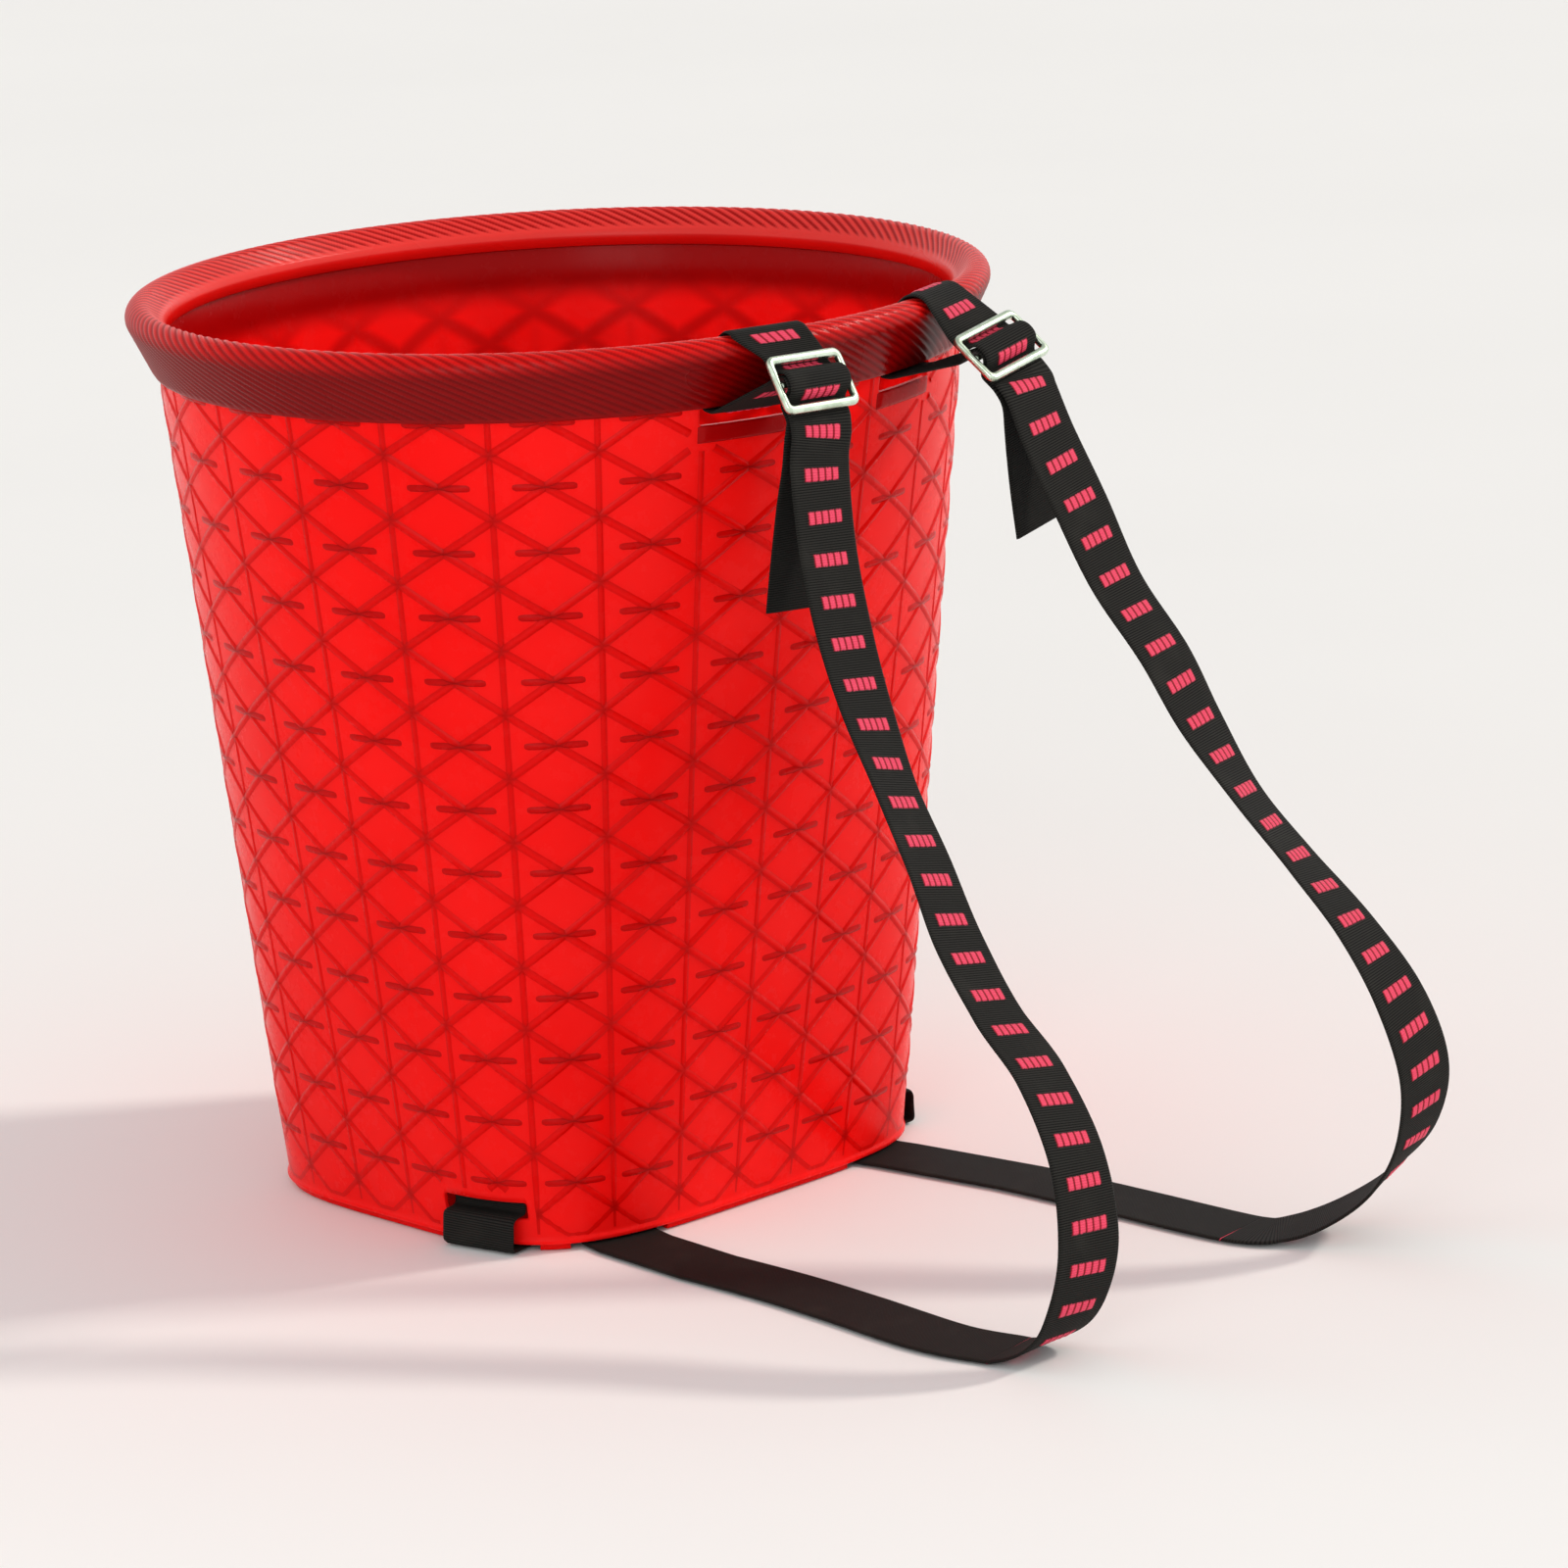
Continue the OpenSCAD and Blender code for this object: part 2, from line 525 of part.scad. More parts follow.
tub();
rim_band();
rim_loop(0);  // left_rim_loop
shoulder_strap(0);  // left_shoulder_strap
tail(0);  // left_tail
base_run(0);  // left_base_run
stop_stitches(0);  // left_stop_stitches
slider_frame(0);  // left_slider_frame
slider_bar(0);  // left_slider_bar
rim_loop(1);  // right_rim_loop
shoulder_strap(1);  // right_shoulder_strap
tail(1);  // right_tail
base_run(1);  // right_base_run
stop_stitches(1);  // right_stop_stitches
slider_frame(1);  // right_slider_frame
slider_bar(1);  // right_slider_bar
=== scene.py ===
"""Picking bucket: a moulded red tub with a lattice relief, a ridged rim band and two webbing straps."""

import math
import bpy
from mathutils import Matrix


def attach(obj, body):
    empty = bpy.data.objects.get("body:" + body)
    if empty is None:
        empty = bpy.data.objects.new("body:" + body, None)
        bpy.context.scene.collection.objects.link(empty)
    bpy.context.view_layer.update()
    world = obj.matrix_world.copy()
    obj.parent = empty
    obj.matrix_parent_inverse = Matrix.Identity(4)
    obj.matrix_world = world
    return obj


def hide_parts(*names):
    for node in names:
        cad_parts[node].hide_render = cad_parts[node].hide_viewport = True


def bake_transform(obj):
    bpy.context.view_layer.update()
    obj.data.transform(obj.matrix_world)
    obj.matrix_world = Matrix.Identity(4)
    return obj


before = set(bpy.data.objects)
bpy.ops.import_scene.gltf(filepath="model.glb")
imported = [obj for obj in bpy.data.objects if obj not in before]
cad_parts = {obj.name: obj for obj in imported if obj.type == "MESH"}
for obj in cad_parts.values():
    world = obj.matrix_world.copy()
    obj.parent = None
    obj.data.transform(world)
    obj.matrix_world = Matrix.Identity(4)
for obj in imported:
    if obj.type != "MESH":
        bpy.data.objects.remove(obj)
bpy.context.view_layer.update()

import bpy
import numpy as np
from mathutils import Matrix, Vector

# Camera. Its place and its lens come from fitting the outlines of the mouth, the base and the wall in the
# photo.
FOOT = 3.0
IMAGE_W = 1600
FOCAL_PX = 6942.0
SENSOR_MM = 36.0
CAMERA_AT = (-2052.3, -2220.0, 927.6 + FOOT)

camera_data = bpy.data.cameras.new("camera")
camera_data.sensor_width = SENSOR_MM
camera_data.lens = FOCAL_PX * SENSOR_MM / IMAGE_W
camera_data.clip_end = 100.0
camera = bpy.data.objects.new("camera", camera_data)
bpy.context.scene.collection.objects.link(camera)
right = Vector((0.7063, -0.7069, -0.0362))
up = Vector((0.1967, 0.1469, 0.9694))
turn = Matrix((right, up, right.cross(up))).transposed()
camera.matrix_world = Matrix.Translation(Vector(CAMERA_AT) / 1000) @ turn.to_4x4()
bpy.context.scene.camera = camera

# Tub: one polypropylene moulding with a 2.2 mm wall. Its mouth is an oval and its base a rounded rectangle. The
# wall runs straight between equal shares of the two outlines, with a floor, a bead at its foot and four slots.
MOUTH = (186.0, 174.0, 2.0)
BASE = (130.0, 108.0, 4.0)
BODY_H = 379.0
HEM_Z = FOOT + BODY_H
WALL = 2.2
MOUTH_ROUND = 1131
BASE_ROUND = 836
OUTLINE_POINTS = 14401


def outline(a, b, n):
    """Share of the length, point and outward normal all round a superellipse, starting on +X."""
    q = np.linspace(0, 2 * np.pi, OUTLINE_POINTS)
    r = (np.abs(np.cos(q) / a) ** n + np.abs(np.sin(q) / b) ** n) ** (-1 / n)
    p = np.stack([r * np.cos(q), r * np.sin(q)], 1)
    step = np.linalg.norm(np.diff(p, axis=0), axis=1)
    share = np.r_[0, np.cumsum(step)] / step.sum()
    t = np.gradient(p, axis=0)
    t[0] = t[-1] = p[1] - p[-2]
    t /= np.linalg.norm(t, axis=1)[:, None]
    return share, p, np.stack([t[:, 1], -t[:, 0]], 1)


mouth_line = outline(*MOUTH)
base_line = outline(*BASE)


def on_outline(line, share, part):
    share = np.mod(share, 1.0)
    return np.stack([np.interp(share, line[0], line[part][:, axis]) for axis in (0, 1)], -1)


def wall_pt(share, o, z):
    """Points on the wall in mm: share of the way round, offset outwards and height above the ground."""
    share, o, z = np.broadcast_arrays(*(np.asarray(v, float) for v in (share, o, z)))
    f = np.clip((z - FOOT) / BODY_H, 0, 1)[..., None]
    p = on_outline(base_line, share, 1) * (1 - f) + on_outline(mouth_line, share, 1) * f
    n = on_outline(base_line, share, 2) * (1 - f) + on_outline(mouth_line, share, 2) * f
    n /= np.linalg.norm(n, axis=-1, keepdims=True)
    return np.concatenate([p + n * o[..., None], z[..., None]], -1)


def grid_faces(rows, cols, loop_rows, loop_cols):
    """Quads of a grid of points, and for each corner its row and column without the wrap, for the UV map."""
    i, j = np.meshgrid(np.arange(rows - (not loop_rows)), np.arange(cols - (not loop_cols)), indexing="ij")
    i, j = i.ravel(), j.ravel()
    corners = [(i, j), (i, j + 1), (i + 1, j + 1), (i + 1, j)]
    faces = np.stack([(r % rows) * cols + c % cols for r, c in corners], 1)
    return faces, np.stack([np.stack([r, c], -1) for r, c in corners], 1)


def add_object(name, verts, faces, uv=None, smooth=True):
    """A mesh object from points in mm, with an optional UV pair for each corner of each face."""
    mesh = bpy.data.meshes.new(name)
    mesh.from_pydata((np.asarray(verts) / 1000).tolist(), [], [list(map(int, f)) for f in faces])
    mesh.update()
    mesh.polygons.foreach_set("use_smooth", [smooth] * len(mesh.polygons))
    if uv is not None:
        layer = mesh.uv_layers.new(name="UVMap")
        layer.data.foreach_set("uv", np.asarray(uv, np.float32).reshape(-1))
    obj = bpy.data.objects.new(name, mesh)
    bpy.context.scene.collection.objects.link(obj)
    return obj


def add_grid(name, points, loop_rows=False, loop_cols=False, uv_of=None, caps=False, flip=False):
    """An object from a rows x cols x 3 array. uv_of turns rows and columns into a UV pair, and a flipped object
    has none."""
    rows, cols = points.shape[:2]
    faces, corners = grid_faces(rows, cols, loop_rows, loop_cols)
    uv = uv_of(corners[..., 0], corners[..., 1]) if uv_of else None
    faces = [list(f) for f in faces]
    if caps:
        ends = [list(range(cols))[::-1], [(rows - 1) * cols + k for k in range(cols)]]
        faces += ends
        if uv is not None:
            uv = np.concatenate([uv.reshape(-1, 2), np.zeros((2 * cols, 2))])
    if flip:
        faces = [f[::-1] for f in faces]
    return add_object(name, points.reshape(-1, 3), faces, uv)


def rgb(code):
    """A linear colour from sRGB hex."""
    parts = [int(code[k:k + 2], 16) / 255 for k in (1, 3, 5)]
    return tuple(v / 12.92 if v <= 0.04045 else ((v + 0.055) / 1.055) ** 2.4 for v in parts) + (1.0,)


def new_material(name):
    """A material and its empty node tree."""
    mat = bpy.data.materials.new(name)
    mat.use_nodes = True
    mat.node_tree.nodes.clear()
    return mat, mat.node_tree


def add(tree, kind, inputs=None, **settings):
    """Adds a node; an input is a value, or a socket to link from."""
    item = tree.nodes.new(kind)
    for key, value in settings.items():
        setattr(item, key, value)
    for key, value in (inputs or {}).items():
        if isinstance(value, bpy.types.NodeSocket):
            tree.links.new(value, item.inputs[key])
        else:
            item.inputs[key].default_value = value
    return item


def maths(tree, operation, *values):
    return add(tree, "ShaderNodeMath", dict(enumerate(values)), operation=operation).outputs[0]


def ramp(tree, value, low, high, clamp_to=(0.0, 1.0)):
    """A value mapped from low-high to clamp_to, eased at both ends."""
    return add(tree, "ShaderNodeMapRange", {"Value": value, "From Min": low, "From Max": high,
                                            "To Min": clamp_to[0], "To Max": clamp_to[1]},
               interpolation_type="SMOOTHSTEP").outputs[0]


def mix_colour(tree, factor, a, b):
    return add(tree, "ShaderNodeMix", {0: factor, 6: a, 7: b}, data_type="RGBA").outputs[2]


def noise(tree, coordinates, scale, detail=3.0, roughness=0.5):
    return add(tree, "ShaderNodeTexNoise", {"Vector": coordinates, "Scale": scale, "Detail": detail,
                                            "Roughness": roughness}).outputs["Fac"]


def output(tree, shader):
    add(tree, "ShaderNodeOutputMaterial", {"Surface": shader})


PERIODS = 24
PITCH_Z = 29.15
OUTSIDE_V = 50.0


def tub_plastic(name, light, dark, paints_inside_shade):
    """Glossy thin polypropylene. With the flag set, the inside carries painted shade: soft dark lines where the
    outer lattice holds back the light coming through the wall, and a darker band at the top, where the band keeps
    the light out."""
    mat, tree = new_material(name)
    coords = add(tree, "ShaderNodeTexCoord").outputs["Object"]
    cloud = noise(tree, coords, 9.0, 2.0)
    scuffs = noise(tree, coords, 60.0, 5.0, 0.7)
    colour = mix_colour(tree, ramp(tree, cloud, 0.35, 0.7), rgb(light), rgb(dark))
    if paints_inside_shade:
        uv = add(tree, "ShaderNodeUVMap", uv_map="UVMap").outputs[0]
        split = add(tree, "ShaderNodeSeparateXYZ", {0: uv})
        u, v = split.outputs[0], split.outputs[1]
        # Painted shade: soft dark lines on the inside where the outer lattice's ribs hold back the light coming
        # through the wall.
        near = maths(tree, "MINIMUM", maths(tree, "PINGPONG", maths(tree, "ADD", u, v), 0.5),
                     maths(tree, "PINGPONG", maths(tree, "SUBTRACT", u, v), 0.5))
        line = maths(tree, "MULTIPLY", ramp(tree, near, 0.02, 0.24, (1.0, 0.0)),
                     ramp(tree, v, 0.1, 0.6, (0.0, 0.6)))
        line = maths(tree, "MULTIPLY", line, ramp(tree, v, OUTSIDE_V / 2, OUTSIDE_V, (1.0, 0.0)))
        colour = mix_colour(tree, line, colour, rgb("#B00304"))
        # Painted shade: the inside is darker at the top, where the band keeps the light out.
        colour = mix_colour(tree, ramp(tree, v, 0.0, 0.5, (0.85, 0.0)), colour, rgb("#8A0002"))
    bump = add(tree, "ShaderNodeBump", {"Height": noise(tree, coords, 1400.0, 2.0), "Strength": 0.06,
                                        "Distance": 0.0002})
    shader = add(tree, "ShaderNodeBsdfPrincipled", {
        "Base Color": colour, "Roughness": ramp(tree, scuffs, 0.3, 0.75, (0.22, 0.32)), "IOR": 1.49,
        "Specular IOR Level": 0.07, "Subsurface Weight": 0.5, "Subsurface Radius": (0.006, 0.0003, 0.0003),
        "Subsurface Scale": 1.0, "Normal": bump.outputs[0]})
    output(tree, shader.outputs[0])
    return mat


tub_red = tub_plastic("tub_polypropylene", "#FF1614", "#F40C0A", True)
# Painted shade: the ribs and the level bars are darker, shaded copies of the body red, the bars darkest. The feet
# and floor ribs use the rib copy.
shaded_rib_red = tub_plastic("tub_polypropylene_ribs_painted_shade", "#E40604", "#DA0503", False)
shaded_dash_red = tub_plastic("tub_polypropylene_dashes_painted_shade", "#C60504", "#BA0303", False)

COLS = 480
FLOOR_Z = 7.0
FLOOR_T = 2.5
WALL_TOP = HEM_Z + 20
rise = np.linspace(FOOT + 4.5, HEM_Z, 60)
shell_path = np.array(
    [[-WALL, FLOOR_Z], [-WALL, FOOT + 0.4], [-WALL + 0.4, FOOT], [0.4, FOOT], [0.85, FOOT + 0.25],
     [1.0, FOOT + 0.8], [1.0, FOOT + 1.7], [0.8, FOOT + 2.3], [0.3, FOOT + 2.8], [0.05, FOOT + 3.4]]
    + [[0, z] for z in rise]
    + [[0, WALL_TOP - 0.5], [-0.5, WALL_TOP], [-WALL + 0.5, WALL_TOP], [-WALL, WALL_TOP - 0.5]]
    + [[-WALL, z] for z in rise[::-1]]
    + [[-WALL, FLOOR_Z + FLOOR_T + 3], [-WALL - 0.6, FLOOR_Z + FLOOR_T + 1.2],
       [-WALL - 2.4, FLOOR_Z + FLOOR_T]])
share = np.arange(COLS) / COLS
shell_points = wall_pt(share[None, :], shell_path[:, :1], shell_path[:, 1:])


def lattice_uv(rows, cols):
    """Periods round the wall, and periods below the hem on the inside or a large number on the outside."""
    row = np.minimum(rows, len(shell_path) - 1)
    is_inside = shell_path[row, 0] <= -WALL
    below_hem = (HEM_Z - shell_path[row, 1]) / PITCH_Z
    return np.stack([cols / COLS * PERIODS, np.where(is_inside, below_hem, OUTSIDE_V)], -1)


tub = add_grid("tub_shell", shell_points, loop_cols=True, uv_of=lattice_uv, caps=True)


WEB_W = 38.0
SLOT_W = WEB_W + 5.0
SLOT_H = 8.0
SLOT_X = 50.0
SLOT_ROUND = 1.5
CUTTER_DEPTH = 20
FLANK_LOW = FOOT + 12.0


def slot_cutter(at, direction):
    """A box used only to cut a slot, with its depth along a direction in the ground plane."""
    bpy.ops.mesh.primitive_cube_add(size=1.0)
    box = bpy.context.object
    box.scale = [v / 1000 for v in (CUTTER_DEPTH, SLOT_W, SLOT_H)]
    box.location = Vector(at) / 1000
    box.rotation_euler[2] = math.atan2(direction[1], direction[0])
    bpy.ops.object.transform_apply(location=True, rotation=True, scale=True)
    bevel = box.modifiers.new("round", "BEVEL")
    bevel.width, bevel.segments = SLOT_ROUND / 1000, 3
    return box


def rim_y(x):
    return -MOUTH[1] * math.sqrt(1 - (x / MOUTH[0]) ** 2)


def rim_n(x):
    n = np.array([x / MOUTH[0] ** 2, rim_y(x) / MOUTH[1] ** 2])
    return n / np.linalg.norm(n)


def rim_pt(x, o, z):
    return np.array([x + rim_n(x)[0] * o, rim_y(x) + rim_n(x)[1] * o, z])


FLANK_COLS = 96
FLANK_SHIFT = 7
FLANK_SHARE = {-1: (FLANK_COLS / 2 + FLANK_SHIFT) / FLANK_COLS, 1: (FLANK_COLS - FLANK_SHIFT) / FLANK_COLS}


def flank_dir(s):
    return on_outline(base_line, FLANK_SHARE[s], 2)


def flank_pt(s, o, z):
    return wall_pt(FLANK_SHARE[s], o, z)


def applied(obj):
    """The object with its modifiers applied, as a new mesh without them."""
    bpy.context.view_layer.update()
    mesh = bpy.data.meshes.new_from_object(obj.evaluated_get(bpy.context.evaluated_depsgraph_get()))
    obj.modifiers.clear()
    obj.data = mesh
    return obj


cutters = []
for s in (-1, 1):
    cutters.append(slot_cutter(rim_pt(s * SLOT_X, 0, HEM_Z - SLOT_H / 2), rim_n(s * SLOT_X)))
    cutters.append(slot_cutter(flank_pt(s, 0, FLANK_LOW + SLOT_H / 2), flank_dir(s)))
for cutter in cutters:
    cut = tub.modifiers.new("slot", "BOOLEAN")
    cut.operation, cut.solver, cut.object = "DIFFERENCE", "EXACT", cutter
applied(tub)
for cutter in cutters:
    bpy.data.objects.remove(cutter, do_unlink=True)
tub.data.materials.clear()
tub.data.materials.append(tub_red)
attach(tub, "root")
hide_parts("tub")

# Underside of the tub: a foot ring under the wall, left open where the webbing passes, a round middle foot and
# five stiffening ribs. The photo doesn't show it, so it follows what such tubs have.
FOOT_GAP = 23.5
FOOT_GAP_REACH = 40
STRAP_IN = (82.0, -104.0)
STRAP_DIR = (0.21, 0.977)


def foot_is_open(x, y):
    """Whether a point of the foot ring lies where a strap comes in from the front or goes out at the flank."""
    for s in (-1, 1):
        e, m = flank_dir(s), flank_pt(s, 0, FOOT)
        strap_in = np.array([s * STRAP_IN[0], STRAP_IN[1]])
        strap_dir = np.array([-s * STRAP_DIR[0], STRAP_DIR[1]])
        for at, d in ((strap_in, strap_dir), (m[:2], -e)):
            v = np.array([x, y]) - at
            if abs(v[0] * d[1] - v[1] * d[0]) < FOOT_GAP and abs(v @ d) < FOOT_GAP_REACH:
                return True
    return False


foot_verts, foot_faces = [], []
foot_section = [(-1.3, 3.2), (-1.3, 0.5), (-1.8, 0.0), (-4.6, 0.0), (-5.1, 0.5), (-5.1, FLOOR_Z + 0.2)]
foot_rings = wall_pt(share[:, None], [[p[0] for p in foot_section]], FOOT)
foot_rings[..., 2] = [[p[1] for p in foot_section]]
solid = [not foot_is_open(*foot_rings[k, 2, :2]) for k in range(COLS)]
ring_n = len(foot_section)
for k in range(COLS):
    foot_verts += foot_rings[k].tolist()
    follows = (k + 1) % COLS
    if solid[k] and solid[follows]:
        here, there = k * ring_n, follows * ring_n
        foot_faces += [[there + j, there + j + 1, here + j + 1, here + j] for j in range(ring_n - 1)]
    if solid[k] != solid[follows]:
        at = k if solid[k] else follows
        face = [at * ring_n + j for j in range(ring_n)]
        foot_faces.append(face if solid[k] else face[::-1])
feet = add_object("tub_feet", foot_verts, foot_faces, smooth=False)
feet.data.materials.append(shaded_rib_red)
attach(feet, "root")

HUB_R = 18.0
FLOOR_RIB_T = 2.0
FLOOR_RIB_LOW = 1.5
FAR = 1000
HUB_SIDES = 64
hub_section = [(FLOOR_Z + 0.2, HUB_R), (0.4, HUB_R), (0.0, HUB_R - 0.4), (0.0, 0.01)]
hub_q = np.linspace(0, 2 * np.pi, HUB_SIDES, endpoint=False)
hub_points = np.array([[[r * math.cos(q), r * math.sin(q), z] for q in hub_q] for z, r in hub_section])
spoke_verts, spoke_faces = [], []
for q in np.radians(np.arange(0, 181, 45)):
    d = np.array([math.cos(q), math.sin(q)])
    n = np.array([-d[1], d[0]]) * FLOOR_RIB_T / 2
    reach = np.abs(np.cross(base_line[1], d)) + (base_line[1] @ d < 0) * FAR
    end = np.linalg.norm(base_line[1][reach.argmin()]) - WALL - 1.5
    corners = [d * (HUB_R - 1) + n, d * end + n, d * end - n, d * (HUB_R - 1) - n]
    start = len(spoke_verts)
    spoke_verts += [[*c, z] for z in (FLOOR_RIB_LOW, FLOOR_Z + 0.2) for c in corners]
    spoke_faces += [[start + 3, start + 2, start + 1, start]] + [
        [start + k, start + k + 4, start + (k + 1) % 4 + 4, start + (k + 1) % 4][::-1] for k in range(4)]
for name, piece in (("tub_middle_foot", add_grid("tub_middle_foot", hub_points, loop_cols=True)),
                    ("tub_floor_ribs", add_object("tub_floor_ribs", spoke_verts, spoke_faces, smooth=False))):
    piece.data.materials.append(shaded_rib_red)
    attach(piece, "root")

# Lattice: raised ribs moulded on the outside of the wall like open basket work. Diagonals cross at every half
# period, an upright rib runs down between them and a short level bar crosses each upper joint.
RIB_W = 4.2
RIB_H = 0.85
UPRIGHT_W = 3.4
UPRIGHT_H = 0.65
UPRIGHT_POINTS = 40
LEVEL_BAR_W = 3.6
LEVEL_BAR_H = 1.05
LEVEL_BAR_HALF_L = 14.5
LEVEL_BAR_POINTS = 13
ROWS = 13
STEPS_PER_HALF = 4
SUNK = 0.12
PLAIN_HALF_W = 23.5
PLAIN_LOW = 366.5
FLANK_Y = -61
FLANK_PLAIN_HALF_W = 23
FLANK_PLAIN_TOP = 27


def surface(share_, z):
    """Points and outward normals of the sloped wall."""
    p = wall_pt(share_, 0, z)
    along = wall_pt(share_ + 0.0005, 0, z) - wall_pt(share_ - 0.0005, 0, z)
    upward = wall_pt(share_, 0, z + 0.5) - wall_pt(share_, 0, z - 0.5)
    n = np.cross(along, upward)
    return p, n / np.linalg.norm(n, axis=-1, keepdims=True)


def rib(share_, z, width, height):
    """A flat strip along a line on the wall: points, outward normals and the share of the full height."""
    p, n = surface(share_, z)
    t = np.gradient(p, axis=0)
    t /= np.linalg.norm(t, axis=1)[:, None]
    side = np.cross(t, n)
    across = np.linspace(-0.5, 0.5, 9)
    bell = np.cos(np.pi * across) ** 1.3
    points = p[:, None] + side[:, None] * (across * width)[None, :, None]
    return np.concatenate([points, np.broadcast_to(n[:, None], points.shape),
                           (np.broadcast_to(height, len(p))[:, None] * bell[None, :])[..., None]], -1)


def size_tree(name, sizes):
    """A geometry node tree with a named input for each size, and its input node."""
    tree = bpy.data.node_groups.new(name, "GeometryNodeTree")
    tree.interface.new_socket("Geometry", in_out="INPUT", socket_type="NodeSocketGeometry")
    for label in sizes:
        tree.interface.new_socket(label, in_out="INPUT", socket_type="NodeSocketFloat")
    tree.interface.new_socket("Geometry", in_out="OUTPUT", socket_type="NodeSocketGeometry")
    return tree, tree.nodes.new("NodeGroupInput")


def finish_tree(tree, geometry, mat):
    real = add(tree, "GeometryNodeRealizeInstances", {"Geometry": geometry}).outputs[0]
    done = add(tree, "GeometryNodeSetMaterial", {"Geometry": real, "Material": mat}).outputs[0]
    add(tree, "NodeGroupOutput", {0: done})


def named(tree, name, kind="FLOAT"):
    return add(tree, "GeometryNodeInputNamedAttribute", {"Name": name}, data_type=kind).outputs[0]


def grown(obj, tree, sizes):
    """The object as the tree makes it from its sizes, as a plain mesh."""
    modifier = obj.modifiers.new(tree.name, "NODES")
    modifier.node_group = tree
    for item in tree.interface.items_tree:
        if item.in_out == "INPUT" and item.name in sizes:
            modifier[item.identifier] = sizes[item.name]
    return applied(obj)


def raised_tree(name, sizes, lift_of, mat):
    """A tree that moves each point along its own outward direction by what lift_of builds from the sizes."""
    tree, given = size_tree(name, sizes)
    outward = named(tree, "outward", "FLOAT_VECTOR")
    offset = add(tree, "ShaderNodeVectorMath", {0: outward, "Scale": lift_of(tree, given)},
                 operation="SCALE").outputs[0]
    moved = add(tree, "GeometryNodeSetPosition", {"Geometry": given.outputs[0], "Offset": offset}).outputs[0]
    finish_tree(tree, moved, mat)
    return tree


def set_attribute(obj, name, values, kind="FLOAT"):
    data = obj.data.attributes.new(name, kind, "POINT").data
    field = "vector" if kind == "FLOAT_VECTOR" else "value"
    data.foreach_set(field, np.asarray(values, np.float32).reshape(-1))


def fade(z):
    return np.clip((z - FOOT - 6) / 30, 0.25, 1.0)


sheets = []
down = np.linspace(0, 2 * ROWS, 2 * ROWS * STEPS_PER_HALF + 1)
z_down = HEM_Z - down * PITCH_Z / 2
z_down = np.maximum(z_down, FOOT + 4)
for k in range(PERIODS):
    for way in (-1, 1):
        sheets.append(rib((2 * k + way * down) / (2 * PERIODS), z_down, RIB_W, fade(z_down)))
    z_rib = np.linspace(HEM_Z, FOOT + 5, UPRIGHT_POINTS)
    upright = np.full(UPRIGHT_POINTS, (k + 0.5) / PERIODS)
    sheets.append(rib(upright, z_rib, UPRIGHT_W, UPRIGHT_H * fade(z_rib)))
    for row in range(ROWS):
        z = HEM_Z - row * PITCH_Z - (0 if row else 1.0)
        reach = np.linspace(-1, 1, LEVEL_BAR_POINTS)
        round_here = MOUTH_ROUND * (z / HEM_Z) + BASE_ROUND * (1 - z / HEM_Z)
        taper = np.sqrt(np.clip(1 - np.abs(reach) ** 4, 0, 1)) * fade(z)
        sheets.append(rib(k / PERIODS + reach * LEVEL_BAR_HALF_L / round_here, np.full(LEVEL_BAR_POINTS, z),
                          LEVEL_BAR_W, LEVEL_BAR_H * taper))
rib_verts, rib_faces, is_dash = [], [], []
for sheet in sheets:
    n_rows, n_cols = sheet.shape[:2]
    centre = sheet[:, n_cols // 2]
    beside_slot = np.abs(np.abs(centre[:, 0]) - SLOT_X) < PLAIN_HALF_W
    pad = beside_slot & (centre[:, 1] < 0) & (centre[:, 2] > PLAIN_LOW)
    flank = (np.abs(centre[:, 1] - FLANK_Y) < FLANK_PLAIN_HALF_W) & (centre[:, 2] < FLANK_PLAIN_TOP)
    keep = ~(pad | flank)
    start = len(rib_verts)
    rib_verts += sheet.reshape(-1, 7).tolist()
    for i in range(n_rows - 1):
        if keep[i] and keep[i + 1]:
            is_dash += [n_rows == LEVEL_BAR_POINTS] * (n_cols - 1)
            here, there = start + i * n_cols, start + (i + 1) * n_cols
            rib_faces += [[here + j, there + j, there + j + 1, here + j + 1] for j in range(n_cols - 1)]
rib_verts = np.array(rib_verts)
lattice = add_object("tub_lattice", rib_verts[:, :3], rib_faces)
set_attribute(lattice, "outward", rib_verts[:, 3:6], "FLOAT_VECTOR")
set_attribute(lattice, "bell", rib_verts[:, 6])
rib_sizes = {"Rib height": RIB_H / 1000, "Sunk": SUNK / 1000}
rib_tree = raised_tree("lattice_ribs", rib_sizes, lambda tree, given: maths(
    tree, "SUBTRACT", maths(tree, "MULTIPLY", named(tree, "bell"), given.outputs["Rib height"]),
    given.outputs["Sunk"]), shaded_rib_red)
grown(lattice, rib_tree, rib_sizes)
lattice.data.materials.append(shaded_dash_red)
lattice.data.polygons.foreach_set("material_index", np.array(is_dash, np.int32))
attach(lattice, "root")

# Pads: a plain raised patch under each upper slot. The webbing comes out of the slot there and would rub on the
# lattice, so the wall is left without ribs and a little thicker.
SIDES = ((-1, "left"), (1, "right"))
PAD_HALF_W = 22.5
PAD_EDGE = 1.2
PAD_COLS = 25

